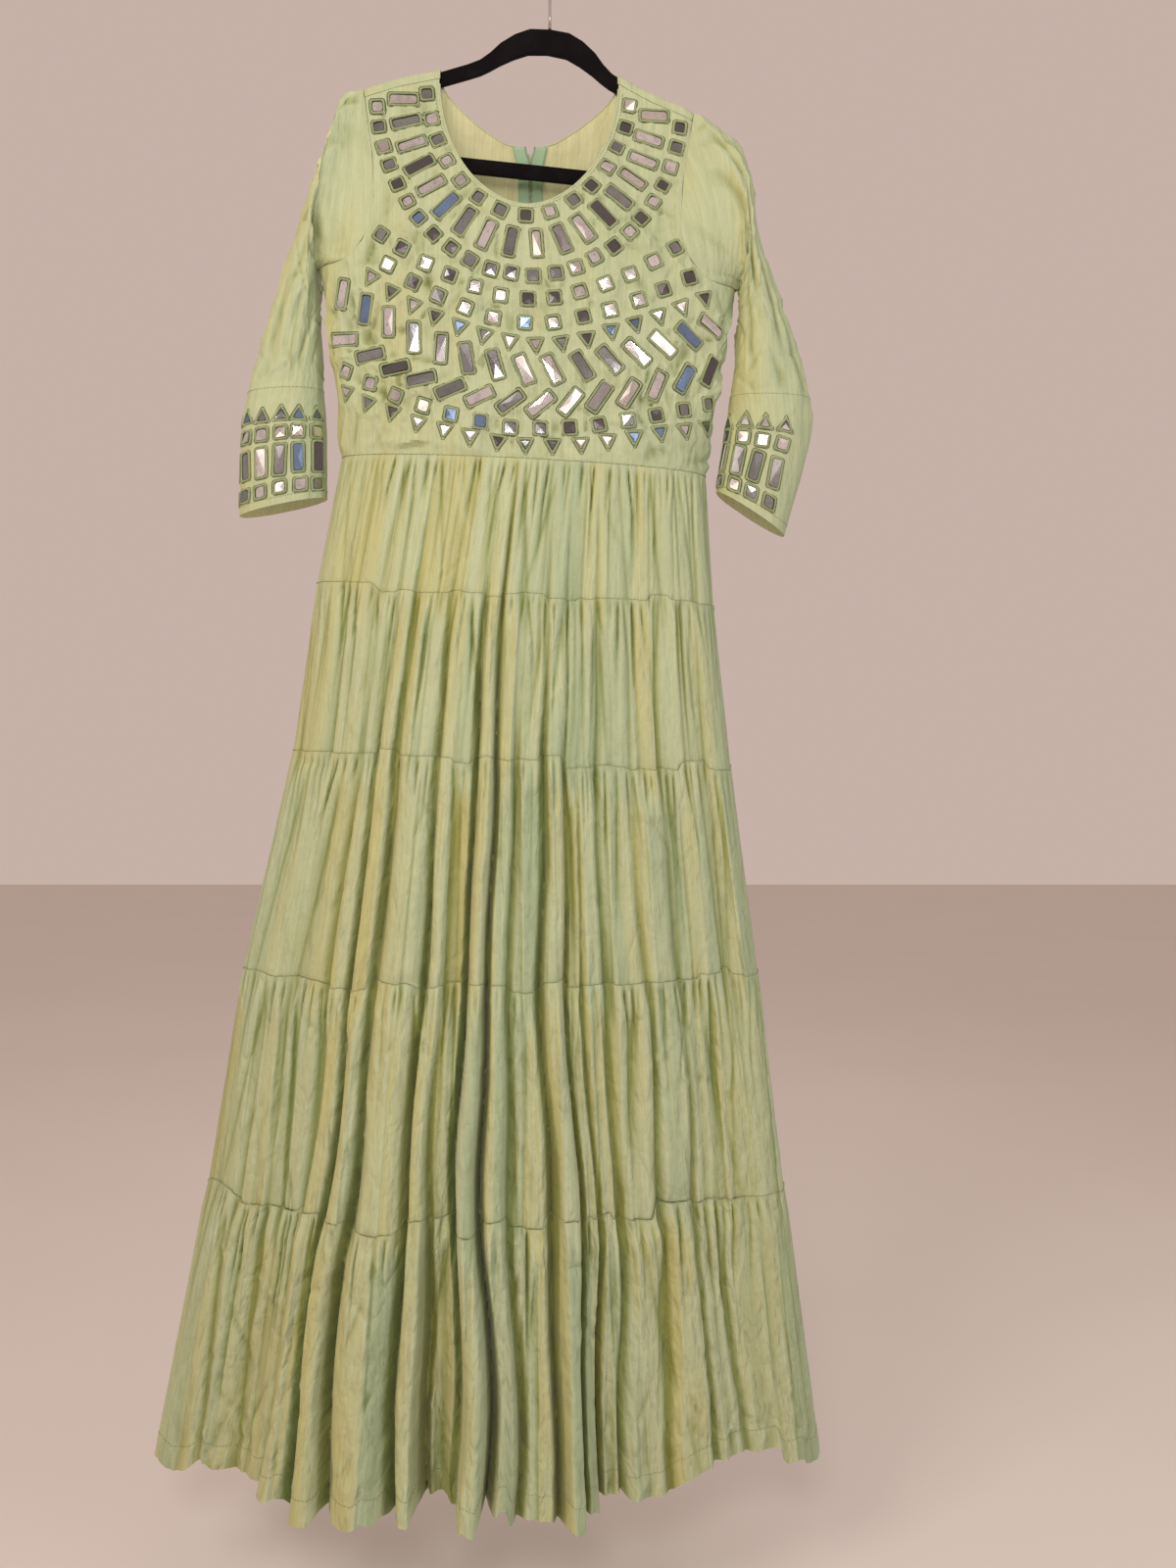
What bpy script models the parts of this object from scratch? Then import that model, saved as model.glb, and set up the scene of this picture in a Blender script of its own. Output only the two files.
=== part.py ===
"""A five-tiered anarkali gown with mirror work, hanging on a slim hanger.

Metres, +Z up. The front faces -Y and +X is to the right of someone who looks at the front.
The origin is where a rod touches the inside of the hook, so every height is negative.
Cloth is a thin wall whose outer face is worked out first. The inner face is moved in from it.
"""
import math

import bmesh
import bpy
import numpy as np
from mathutils.geometry import delaunay_2d_cdt, tessellate_polygon

# ---------------------------------------------------------------- driving sizes

CLOTH = 0.0015            # wall of every cloth piece
GAP = 0.0003              # between two pieces at a seam
FRONT, BACK = -1, 1       # sides of the gown along Y

HOOK_INSIDE = 0.018       # inner radius of the hook
WIRE = 0.0015             # radius of the hook's wire
HOOK_BEND = math.radians(75)
HANGER_TOP = -0.0702      # top of the hanger's arch
HANGER_TILT = math.radians(6)
HANGER_THICK = 0.0055
BAR_DROP = 0.1292         # arch top to the top of the trouser bar
BAR_HEIGHT = 0.014
HANGER_CLEAR = 0.0012     # between the hanger's arm and the inside of the cloth
ARM_TAPER = 0.975         # the arm's lower line is drawn towards the middle by this share

GOWN_X = -0.020           # centre line of the bodice
BODICE_SLOPE = 0.050      # the gown hangs lower on its right, and this fades down the skirt
SHOULDER_SEAM = 0.010     # the back wraps over the ridge by this much
NECK_HALF = 0.0865
NECK_FRONT_Z = -0.2500
NECK_BACK_Z = -0.1790
NECK_ROUND = 1.9          # exponent of the front neckline's curve
NECK_BACK_ROUND = 1.35
DRAPE_DROP = 0.17         # below the ridge, the cloth has its full depth from here on

MIRROR_LIFT = 0.0014      # mirror and border stand this far out of the cloth
MIRROR_TAPER = 0.0008

ZIP_NOTCH = 0.024         # height of the small V at the top of the centre back
ZIP_NOTCH_HALF = 0.0085
ZIP_TAPE = 0.012          # width of each tape
TAPE_THICK = 0.001
SLIDER = (0.0076, 0.0040, 0.0105)    # width, depth, height
EAR = (0.0010, 0.0040, 0.0050)       # each of the two ears that hold the pin
PIN_RADIUS = 0.0006
PIN_SIDES = 8
PULL_LENGTH = 0.017
PULL_WIDTH = 0.0042
PULL_THICK = 0.0010

SEED = 7


def table(columns, *rows):
    """Named columns of numbers, a row for each section, fold or row of mirrors."""
    return dict(zip(columns.split(), np.array(rows, float).T))


# The hanger's arm, from the middle out: how far the top line drops, and the arm's height there.
ARM = table("out drop height",
            (0.000, 0.0000, 0.0235),
            (0.019, 0.0014, 0.0240),
            (0.033, 0.0078, 0.0235),
            (0.046, 0.0175, 0.0210),
            (0.055, 0.0275, 0.0170),
            (0.064, 0.0352, 0.0145),
            (0.075, 0.0407, 0.0135),
            (0.103, 0.0520, 0.0130),
            (0.140, 0.0632, 0.0130),
            (0.172, 0.0765, 0.0130),
            (0.187, 0.0875, 0.0125),
            (0.193, 0.0965, 0.0120))

# The hanger's end rounds down from the arm into the trouser bar, outside and inside.
TIP_OUTSIDE = table("out drop",
                    (0.193, 0.1060),
                    (0.190, 0.1180),
                    (0.183, 0.1310),
                    (0.168, BAR_DROP + BAR_HEIGHT))
TIP_INSIDE = table("out drop",
                   (0.180, 0.1120),
                   (0.175, 0.1210),
                   (0.162, BAR_DROP))

# Bodice sections on the centre line: left and right edge of the whole flat shape, and depths.
# Above the underarm the edges run out under the sleeves.
BODICE = table("z left right front back",
               (-0.110, -0.300, 0.262, 0.034, 0.030),
               (-0.240, -0.262, 0.222, 0.040, 0.035),
               (-0.3105, -0.2235, 0.1800, 0.045, 0.039),
               (-0.345, -0.2170, 0.1735, 0.047, 0.041),
               (-0.375, -0.2160, 0.1680, 0.048, 0.042),
               (-0.405, -0.2110, 0.1640, 0.049, 0.043),
               (-0.435, -0.2065, 0.1590, 0.050, 0.044),
               (-0.4905, -0.2033, 0.1515, 0.050, 0.045))

# Armhole, along the line from underarm to shoulder: how far it curves in towards the neck.
ARMHOLE = table("up inward",
                (0.000, 0.0000),
                (0.030, 0.0165),
                (0.075, 0.0285),
                (0.170, 0.0392),
                (0.300, 0.0420),
                (0.420, 0.0385),
                (0.640, 0.0262),
                (0.850, 0.0110),
                (1.000, 0.0000))
UNDERARM = {-1: (-0.2228, -0.3003), 1: (0.1800, -0.3202)}
SHOULDER_OUT = {-1: -0.1800, 1: 0.1390}

# Sleeve sections down from the underarm: inner and outer fold, and half the depth.
SLEEVE = {
    -1: table("in_x in_z out_x out_z depth",
              (-0.2265, -0.2985, -0.1985, -0.1325, 0.024),
              (-0.2270, -0.3040, -0.2125, -0.1600, 0.029),
              (-0.2264, -0.3110, -0.2250, -0.2050, 0.031),
              (-0.2254, -0.3200, -0.2395, -0.2450, 0.030),
              (-0.2246, -0.3330, -0.2552, -0.2920, 0.028),
              (-0.2240, -0.3530, -0.2710, -0.3400, 0.027),
              (-0.2232, -0.3900, -0.2850, -0.3840, 0.026),
              (-0.2215, -0.4180, -0.2960, -0.4220, 0.025),
              (-0.2195, -0.4480, -0.3010, -0.4540, 0.025),
              (-0.2190, -0.5190, -0.3046, -0.5370, 0.023)),
    1: table("in_x in_z out_x out_z depth",
             (0.1838, -0.3184, 0.1600, -0.1590, 0.024),
             (0.1848, -0.3245, 0.1868, -0.1830, 0.029),
             (0.1848, -0.3315, 0.1968, -0.2200, 0.031),
             (0.1843, -0.3400, 0.2030, -0.2640, 0.030),
             (0.1834, -0.3510, 0.2165, -0.3040, 0.028),
             (0.1822, -0.3680, 0.2310, -0.3470, 0.027),
             (0.1790, -0.4000, 0.2450, -0.3900, 0.026),
             (0.1752, -0.4240, 0.2545, -0.4270, 0.025),
             (0.1722, -0.4480, 0.2550, -0.4600, 0.025),
             (0.1625, -0.5130, 0.2295, -0.5560, 0.023)),
}
UNDERARM_EASE = 2.5       # how much wider than elsewhere the sleeve's seam gap gets there
CUFF_TOP = 8              # the sleeve's row, counting the armhole as 0, above the mirrors

# Seams of the skirt, waist to hem: height and slope on the centre line, edges, the line that
# the folds fan out from, depths, and how much the section narrows to a lens at its sides.
SEAMS = table("z slope left right middle front back lens skew",
              (-0.4900, 0.0500, -0.2033, 0.1515, -0.020, 0.050, 0.045, 0.00, 0.00),
              (-0.6170, 0.0468, -0.2284, 0.1604, -0.033, 0.070, 0.050, 0.10, 0.05),
              (-0.7749, 0.0405, -0.2541, 0.1776, -0.042, 0.080, 0.060, 0.30, 0.10),
              (-0.9863, 0.0037, -0.3060, 0.2059, -0.045, 0.088, 0.070, 0.50, 0.15),
              (-1.2041, -0.0035, -0.3440, 0.2337, -0.045, 0.108, 0.085, 0.60, 0.20),
              (-1.4706, 0.0015, -0.4019, 0.2711, -0.045, 0.134, 0.100, 0.60, 0.22))
SIDE_ROUND = 0.85         # how squarely every section turns at its sides
LENS_POWER = 2.6          # how sharply a lens section narrows there

GATHERS = (45, 43, 40, 36)      # folds that each of the upper tiers is gathered into
GATHER = table("down depth",    # how deep they are down a tier, in millimetres
               (0.0, 2.6),
               (0.4, 3.8),
               (1.0, 2.4))
BANDS = ((0, 0.4, 1), (0, 0.4, 1), (0, 0.4, 1), (0, 0.4, 1), (0, 0.3, 0.65, 1))
VALLEY_WIDTH = 0.36             # share of a lobe that each valley beside it takes
VALLEY_POWER = 1.6              # how sharp a valley's floor is
LOBE_POWER = 0.8                # how full a lobe is
FOLD_ROOM = 0.045               # folds fade where the skirt's half depth falls below this

# The large folds of the hem, as valleys across the front from the left side (-1) to the right
# (1): how deep each valley is, how far the lobe after it stands out, in millimetres, and how
# late both grow on the way down.
FRONT_FOLDS = table("across valley lobe late",
                    (-1.000, 2, -16, 2.5),
                    (-0.860, 12, -26, 2.2),
                    (-0.635, 16, 8, 1.5),
                    (-0.553, 14, 16, 1.5),
                    (-0.467, 16, 18, 1.4),
                    (-0.284, 20, 8, 1.2),
                    (-0.215, 40, -44, 5.0),
                    (-0.124, 30, 25, 1.2),
                    (-0.045, 30, 6, 1.0),
                    (0.039, 16, -8, 1.4),
                    (0.173, 26, 10, 1.1),
                    (0.260, 24, -14, 1.3),
                    (0.320, 34, -24, 2.2),
                    (0.400, 24, -8, 1.4),
                    (0.550, 16, -2, 1.5),
                    (0.677, 16, -12, 1.8),
                    (0.770, 14, -16, 2.2),
                    (0.900, 10, -8, 2.2))
BACK_FOLDS = table("across valley lobe late",
                   (1.000, 2, -14, 2.5),
                   (0.800, 14, 6, 1.6),
                   (0.700, 12, -6, 1.5),
                   (0.580, 18, 12, 1.3),
                   (0.480, 14, 4, 1.4),
                   (0.370, 22, 14, 1.2),
                   (0.270, 18, -8, 1.5),
                   (0.180, 24, 10, 1.1),
                   (0.070, 16, 4, 1.3),
                   (-0.030, 26, 14, 1.1),
                   (-0.130, 18, -10, 1.4),
                   (-0.220, 22, 12, 1.2),
                   (-0.330, 14, 4, 1.4),
                   (-0.430, 20, 10, 1.3),
                   (-0.520, 14, -8, 1.5),
                   (-0.620, 18, 8, 1.4),
                   (-0.710, 12, -4, 1.6),
                   (-0.810, 14, 4, 1.8))

# Mirror work. The first rows follow the neckline: motif, count and distance from the edge, at the
# shoulders and in the middle. The
# others sag across the bodice: height at the centre, rise at the ends, half the length, the
# lean in the middle, its change towards the ends, and how much more the left end rises.
NECK_ROWS = (("square", 15, 0.0120, 0.0125), ("bar", 18, 0.0360, 0.0395),
             ("square", 24, 0.0610, 0.0690))
NECK_ROOM = 0.0100         # a row beside the neck ends this far from the panel's edge
NECK_MARGIN = 0.1         # and its outer motifs stand this share of a pitch from that end
SAG_ROWS = table("kind count centre rise half lean swing tip",
                 (0, 13, -0.3420, 0.066, 0.150, 0, 0, 0.00),
                 (0, 13, -0.3640, 0.069, 0.166, 0, 0, 0.10),
                 (1, 16, -0.3842, 0.072, 0.180, 0, 0, 0.13),
                 (2, 15, -0.4080, 0.070, 0.190, 24, 12, 0.10),
                 (2, 14, -0.4398, 0.058, 0.190, -52, 10, 0.10),
                 (0, 14, -0.4628, 0.051, 0.190, 0, 0, 0.15),
                 (1, 15, -0.4787, 0.044, 0.190, 0, 0, 0.18))
SAG_KINDS = ("square", "triangle", "bar")
SAG_POWER = 1.7           # a row is flat in the middle and rises at its ends
SAG_TURN = 0.8            # a motif follows this share of its row's slope
MOTIF_APART = 0.0006      # the least between two motifs
MOTIF_INSIDE = 0.002      # the least from a motif to the panel's edge
CUFF_ROWS = (("triangle_up", 0.091), ("square", 0.072), ("bar", 0.047), ("square", 0.019))
CUFF_COLUMNS = 7
CUFF_STEP = 0.0205
CUFF_CLEAR = 0.016        # plain points of the cuff stay this far from a motif's centre

MOTIFS = {
    "square": [(-0.0067, -0.0067), (0.0067, -0.0067), (0.0067, 0.0067), (-0.0067, 0.0067)],
    "bar": [(-0.0063, -0.0137), (0.0063, -0.0137), (0.0063, 0.0137), (-0.0063, 0.0137)],
    "triangle": [(0.0, -0.0090), (0.0086, 0.0070), (-0.0086, 0.0070)],
    "triangle_up": [(-0.0086, -0.0070), (0.0086, -0.0070), (0.0, 0.0085)],
}

COLOURS = {     # base colour, roughness, metallic
    "cloth": ((0.37, 0.37, 0.21, 1), 0.85, 0.0),
    "velvet": ((0.006, 0.006, 0.007, 1), 0.9, 0.0),
    "steel": ((0.55, 0.55, 0.56, 1), 0.3, 1.0),
    "zip_tape": ((0.16, 0.27, 0.20, 1), 0.8, 0.0),
    "zip_metal": ((0.20, 0.30, 0.24, 1), 0.5, 0.3),
}


# ---------------------------------------------------------------- making objects

def clear_scene():
    for old in list(bpy.data.objects):
        bpy.data.objects.remove(old, do_unlink=True)


def material(name):
    found = bpy.data.materials.get(name)
    if found:
        return found
    made = bpy.data.materials.new(name)
    made.use_nodes = True
    shader = made.node_tree.nodes["Principled BSDF"]
    colour, roughness, metallic = COLOURS[name]
    shader.inputs["Base Color"].default_value = colour
    shader.inputs["Roughness"].default_value = roughness
    shader.inputs["Metallic"].default_value = metallic
    return made


def add_object(name, points, faces, finish, origin=(0, 0, 0), sharp=40):
    """A mesh object whose points are given in world space."""
    mesh = bpy.data.meshes.new(name)
    local = np.asarray(points, float) - np.asarray(origin, float)
    mesh.from_pydata(local.tolist(), [], [[int(i) for i in face] for face in faces])
    work = bmesh.new()
    work.from_mesh(mesh)
    bmesh.ops.recalc_face_normals(work, faces=work.faces)
    work.to_mesh(mesh)
    work.free()
    mesh.shade_smooth()
    mesh.set_sharp_from_angle(angle=math.radians(sharp))
    mesh.materials.append(material(finish))
    made = bpy.data.objects.new(name, mesh)
    made.location = origin
    bpy.context.collection.objects.link(made)
    return made


def unit(vectors):
    length = np.linalg.norm(vectors, axis=-1, keepdims=True)
    return vectors / np.maximum(length, 1e-12)


def grid_faces(rows, columns, start=0, closed=False):
    """Quads of a grid of points that is stored row by row."""
    last = columns if closed else columns - 1
    return [(start + r * columns + c, start + r * columns + (c + 1) % columns,
             start + (r + 1) * columns + (c + 1) % columns, start + (r + 1) * columns + c)
            for r in range(rows - 1) for c in range(last)]


def walled(outer, inner, faces_out, faces_in, loops):
    """A closed wall from an outer and an inner skin and the loops of points at their edges."""
    shift = len(outer)
    faces = list(faces_out) + [tuple(i + shift for i in reversed(face)) for face in faces_in]
    for loop_out, loop_in in loops:
        for i in range(len(loop_out)):
            j = (i + 1) % len(loop_out)
            faces.append((loop_out[j], loop_out[i], loop_in[i] + shift, loop_in[j] + shift))
    return np.vstack([outer, inner]), faces


# ---------------------------------------------------------------- hanger

def turned(out, height):
    """A point of the level hanger, after it has tilted about the top of its arch."""
    sine, cosine = math.sin(HANGER_TILT), math.cos(HANGER_TILT)
    return out * cosine + height * sine, HANGER_TOP - out * sine + height * cosine


def ridge(x):
    """Height of the cloth's fold over the hanger's arms."""
    out = np.concatenate([-ARM["out"][::-1], ARM["out"][1:]])
    drop = np.concatenate([ARM["drop"][::-1], ARM["drop"][1:]])
    held = np.abs(out) > 0.05
    line_x, line_z = turned(out[held], -drop[held])
    return np.interp(x, line_x, line_z) + CLOTH + HANGER_CLEAR


def slab(name, outline, hole, depth, finish, bevel, place, origin=(0, 0, 0)):
    """A plate with a hole. Its outlines are flat, and place puts (u, v, through) in space."""
    loops = [outline, hole]
    triangles = tessellate_polygon([[(u, v, 0.0) for u, v in loop] for loop in loops])
    count = len(outline) + len(hole)
    points = [place(u, v, w) for w in (-depth / 2, depth / 2) for loop in loops for u, v in loop]
    faces = [tuple(t) for t in triangles] + [tuple(i + count for i in t) for t in triangles]
    start = 0
    for loop in loops:
        for i in range(len(loop)):
            a, b = start + i, start + (i + 1) % len(loop)
            faces.append((a, b, b + count, a + count))
        start += len(loop)
    made = add_object(name, points, faces, finish, origin)
    if bevel:
        rounded = made.modifiers.new("rounded edges", "BEVEL")
        rounded.width = bevel
        rounded.segments = 1
        rounded.limit_method = "ANGLE"
        rounded.angle_limit = math.radians(50)
    return made


def block(name, low, high, finish):
    points = [(x, y, z) for x in (low[0], high[0]) for y in (low[1], high[1])
              for z in (low[2], high[2])]
    faces = [(0, 1, 3, 2), (4, 6, 7, 5), (0, 4, 5, 1), (2, 3, 7, 6), (0, 2, 6, 4), (1, 5, 7, 3)]
    return add_object(name, points, faces, finish)


def fuse(base, *others):
    """Join solids into one body. The others stay as hidden guides."""
    for other in others:
        other.hide_render = True
        other.display_type = "WIRE"
        union = base.modifiers.new("join " + other.name, "BOOLEAN")
        union.operation = "UNION"
        union.object = other


def hanger():
    """Arms, rounded ends and trouser bar in one plate."""
    top = [(o, -d) for o, d in zip(ARM["out"], ARM["drop"])]
    under = [(o * ARM_TAPER, -d - h) for o, d, h in zip(ARM["out"], ARM["drop"], ARM["height"])]
    outside = top + list(zip(TIP_OUTSIDE["out"], -TIP_OUTSIDE["drop"]))
    inside = under[:-1] + list(zip(TIP_INSIDE["out"], -TIP_INSIDE["drop"]))
    outline = [turned(o, h) for o, h in outside]
    outline += [turned(-o, h) for o, h in reversed(outside[1:])]
    hole = [turned(o, h) for o, h in inside]
    hole += [turned(-o, h) for o, h in reversed(inside[1:])]
    slab("hanger", outline, hole, HANGER_THICK, "velvet", 0.0012, lambda u, v, w: (u, w, v))


def tube(name, route, radius, sides, finish):
    """A round wire through the points of a route in the XZ plane."""
    route = np.array(route)
    along = unit(np.gradient(route, axis=0))
    across = np.stack([along[:, 1], -along[:, 0]], axis=1)
    points, faces = [], []
    for (x, z), (ax, az) in zip(route, across):
        for k in range(sides):
            turn = 2 * math.pi * k / sides
            reach = radius * math.cos(turn)
            points.append((x + ax * reach, radius * math.sin(turn), z + az * reach))
    faces += grid_faces(len(route), sides, closed=True)
    faces += [tuple(range(sides)), tuple(range(len(points) - 1, len(points) - 1 - sides, -1))]
    add_object(name, points, faces, finish)


def hanger_hook():
    """The stem stands upright, bends to one side and turns over the rod."""
    turn = HOOK_INSIDE + WIRE
    bend = turn * math.cos(HOOK_BEND) / (1 - math.cos(HOOK_BEND))
    start = -HOOK_INSIDE - (turn + bend) * math.sin(HOOK_BEND)
    route = [(0.0, HANGER_TOP + 2 * GAP), (0.0, (HANGER_TOP + start) / 2)]
    route += [(bend * (1 - math.cos(a)), start + bend * math.sin(a))
              for a in np.linspace(0, HOOK_BEND, 6)]
    route += [(turn * math.cos(a), -HOOK_INSIDE + turn * math.sin(a))
              for a in np.linspace(-HOOK_BEND, math.radians(215), 24)[1:]]
    tube("hanger_hook", route, WIRE, 8, "steel")


# ---------------------------------------------------------------- bodice surface

def level_of(x, z):
    """Height on the centre line of the sloping level that passes through a point."""
    return z + BODICE_SLOPE * (x - GOWN_X)


def bodice_at(level, column):
    return np.interp(-np.asarray(level), -BODICE["z"], BODICE[column])


def bodice_depth(x, z, level, turn, side):
    """Distance from the hanger's plane: a round fold on the ridge, then a gentle opening."""
    full = bodice_at(level, "front" if side == FRONT else "back")
    drop = np.maximum(ridge(x) - z, 0)
    fold = HANGER_THICK / 2 + CLOTH + HANGER_CLEAR
    rolled = np.sqrt(np.maximum(fold ** 2 - np.maximum(fold - drop, 0) ** 2, 0))
    open_share = np.clip((drop - fold) / DRAPE_DROP, 0, 1)
    opened = (full - fold) * open_share ** 2 * (3 - 2 * open_share)
    reach = np.maximum(np.cos(turn), 0)
    return rolled * reach ** 0.3 + opened * reach ** SIDE_ROUND


def on_bodice(lateral, level, side):
    """A point of the outer face. Lateral runs from -1 at the left edge to 1 at the right."""
    lateral = np.asarray(lateral, float)
    level = np.asarray(level, float)
    turn = lateral * math.pi / 2
    left, right = bodice_at(level, "left"), bodice_at(level, "right")
    x = np.where(lateral < 0, GOWN_X + (GOWN_X - left) * np.sin(turn),
                 GOWN_X + (right - GOWN_X) * np.sin(turn))
    z = level - BODICE_SLOPE * (x - GOWN_X)
    depth = bodice_depth(x, z, level, turn, side)
    return np.stack([x, side * (GAP / 2 + depth), z], axis=-1)


def bodice_normal(lateral, level, side):
    step = 1e-3
    lateral = np.asarray(lateral, float)
    low, high = np.clip(lateral - step, -1, 1), np.clip(lateral + step, -1, 1)
    across = on_bodice(high, level, side) - on_bodice(low, level, side)
    down = on_bodice(lateral, level - step, side) - on_bodice(lateral, level + step, side)
    return unit(np.cross(down, across)) * -side


def flat_from(x, z):
    """Flat panel coordinates of a point of the front view: distance across, and level."""
    level = level_of(x, z)
    left, right = bodice_at(level, "left"), bodice_at(level, "right")
    share = np.where(x < GOWN_X, (x - GOWN_X) / (GOWN_X - left), (x - GOWN_X) / (right - GOWN_X))
    return np.arcsin(np.clip(share, -1, 1)) / (math.pi / 2), level


def across_table(level, side):
    """Distance across the cloth at evenly spaced laterals, for one level."""
    lateral = np.linspace(-1, 1, 81)
    points = on_bodice(lateral, np.full(81, level), side)
    run = np.concatenate([[0], np.cumsum(np.linalg.norm(np.diff(points, axis=0), axis=1))])
    return lateral, run - np.interp(0, lateral, run)


def to_lateral(across, level, side):
    lateral, run = across_table(level, side)
    return float(np.interp(across, run, lateral))


def to_across(lateral, level, side):
    grid, run = across_table(level, side)
    return float(np.interp(lateral, grid, run))


def armhole_line(side_x, ups):
    """Front view of the armhole, underarm (0) to ridge (1), the same for front and back."""
    low = np.array(UNDERARM[side_x])
    high = np.array([SHOULDER_OUT[side_x], float(ridge(SHOULDER_OUT[side_x]))])
    chord = high - low
    inward = unit(np.array([chord[1], -chord[0]])) * -side_x
    bulge = np.interp(ups, ARMHOLE["up"], ARMHOLE["inward"])
    return low + np.outer(ups, chord) + np.outer(bulge, inward)


# Places along the armhole where front, back and sleeve share their points, and the drops
# from the ridge that round its fold.
ARM_UPS = np.array([0, 0.03, 0.075, 0.13, 0.2, 0.3, 0.42, 0.54, 0.66, 0.78, 0.88])
FOLD_DROPS = np.array([SHOULDER_SEAM, 0.0050, 0.0014])


def up_of_drop(side_x, drop):
    """Where the armhole passes a small drop below the ridge."""
    line = armhole_line(side_x, np.array([0.9, 1.0]))
    return 1 - 0.1 * drop / (line[1, 1] - line[0, 1])


def on_front_view(x, z, side):
    """Place and wall direction on the outer face, for points given in the front view."""
    laterals, levels = flat_from(x, z)
    return on_bodice(laterals, levels, side), bodice_normal(laterals, levels, side)


def neck_curve(count, bottom, power, drop):
    """Front view of a neckline from the left neck point down and up to the right one."""
    left, right = GOWN_X - NECK_HALF, GOWN_X + NECK_HALF
    turn = np.linspace(math.pi, 0, count)
    x = GOWN_X + NECK_HALF * np.sign(np.cos(turn)) * np.abs(np.cos(turn)) ** (2 / power)
    start = np.interp(x, [left, right], [ridge(left) - drop, ridge(right) - drop])
    z = start + (bottom - start) * np.sin(turn) ** (2 / power)
    return np.stack([x, z], axis=1)


def inside_polygon(points, polygon):
    """Even-odd test of many points against one polygon."""
    points, polygon = np.asarray(points), np.asarray(polygon)
    nxt = np.roll(polygon, -1, axis=0)
    inside = np.zeros(len(points), bool)
    for (x1, y1), (x2, y2) in zip(polygon, nxt):
        crosses = (y1 > points[:, 1]) != (y2 > points[:, 1])
        with np.errstate(divide="ignore", invalid="ignore"):
            at = x1 + (points[:, 1] - y1) * (x2 - x1) / (y2 - y1)
        inside ^= crosses & (points[:, 0] < at)
    return inside


def clearance(points, polygon):
    """Smallest distance from the points to a polygon's edges."""
    points, polygon = np.asarray(points), np.asarray(polygon)
    run = np.roll(polygon, -1, axis=0) - polygon
    offset = points[:, None, :] - polygon[None]
    share = np.clip((offset * run).sum(-1) / np.maximum((run * run).sum(-1), 1e-12), 0, 1)
    return np.linalg.norm(offset - share[..., None] * run, axis=-1).min()


def placed(kind, centre, angle, shrink=0.0):
    """A motif's corners about a centre, turned by an angle, and drawn in by shrink."""
    corners = np.array(MOTIFS[kind])
    corners = corners - unit(corners) * shrink * 1.41
    c, s = math.cos(angle), math.sin(angle)
    return np.asarray(centre) + corners @ np.array([[c, s], [-s, c]])


def spaced(path, count, margin=0.5):
    """Evenly spaced places along a path, with the direction of the path at each."""
    run = np.concatenate([[0], np.cumsum(np.linalg.norm(np.diff(path, axis=0), axis=1))])
    at = (np.arange(count) + margin) / (count - 1 + 2 * margin) * run[-1]
    centres = np.stack([np.interp(at, run, path[:, k]) for k in (0, 1)], axis=1)
    ahead = np.stack([np.interp(at + 2e-3, run, path[:, k]) for k in (0, 1)], axis=1)
    behind = np.stack([np.interp(at - 2e-3, run, path[:, k]) for k in (0, 1)], axis=1)
    step = ahead - behind
    return centres, np.arctan2(step[:, 1], step[:, 0])


def front_mirrors(outline):
    """Kinds, centres and angles of the mirrors that fit on the flat front panel."""
    found = []
    neck = np.array([(to_across(*flat_from(x, z), FRONT), level_of(x, z))
                     for x, z in neck_curve(41, NECK_FRONT_Z, NECK_ROUND, SHOULDER_SEAM)])
    step = np.gradient(neck, axis=0)
    outward = unit(np.stack([step[:, 1], -step[:, 0]], axis=1))
    outward[0], outward[-1] = (-1, 0), (1, 0)
    bulge = np.sin(np.linspace(0, math.pi, len(neck)))
    fine = np.linspace(0, len(neck) - 1, 321)
    for kind, count, near, far in NECK_ROWS:
        path = neck + outward * (near + (far - near) * bulge)[:, None]
        path = np.stack([np.interp(fine, range(len(path)), p) for p in path.T], axis=1)
        room = inside_polygon(path, outline) & [clearance([p], outline) > NECK_ROOM for p in path]
        centres, angles = spaced(path[room], count, NECK_MARGIN)
        found += [(kind, c, a) for c, a in zip(centres, angles)]
    for row in range(len(SAG_ROWS["kind"])):
        get = {name: SAG_ROWS[name][row] for name in SAG_ROWS}
        share = np.linspace(-1, 1, 41)
        rise = get["rise"] * (1 - get["tip"] * share) * np.abs(share) ** SAG_POWER
        path = np.stack([share * get["half"], get["centre"] + rise], axis=1)
        centres, angles = spaced(path, int(get["count"]))
        kind = SAG_KINDS[int(get["kind"])]
        leans = np.radians(get["lean"] + get["swing"] * centres[:, 0] / get["half"])
        found += [(kind, c, a) for c, a in zip(centres, angles * SAG_TURN + leans)]
    kept = []
    for motif in found:
        corners = placed(*motif)
        clear = inside_polygon(corners, outline).all() and clearance(corners, outline) > MOTIF_INSIDE
        for other in kept:
            near = placed(*other)
            apart = min(clearance(corners, near), clearance(near, corners)) > MOTIF_APART
            within = inside_polygon(corners, near).any() or inside_polygon(near, corners).any()
            clear = clear and apart and not within
        if clear:
            kept.append(motif)
    return kept


def triangulate(points, rings):
    """Triangles of a flat shape whose first ring is its outline and whose others are creases."""
    edges = [(ring[i], ring[(i + 1) % len(ring)]) for ring in rings for i in range(len(ring))]
    flat = [tuple(map(float, p)) for p in points]
    made, _, faces, sources, _, _ = delaunay_2d_cdt(flat, edges, [], 1, 1e-9)
    names = [source[0] for source in sources]
    if len(made) != len(points):
        raise ValueError("two points of a panel meet")
    return [tuple(names[i] for i in face) for face in faces]


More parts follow.
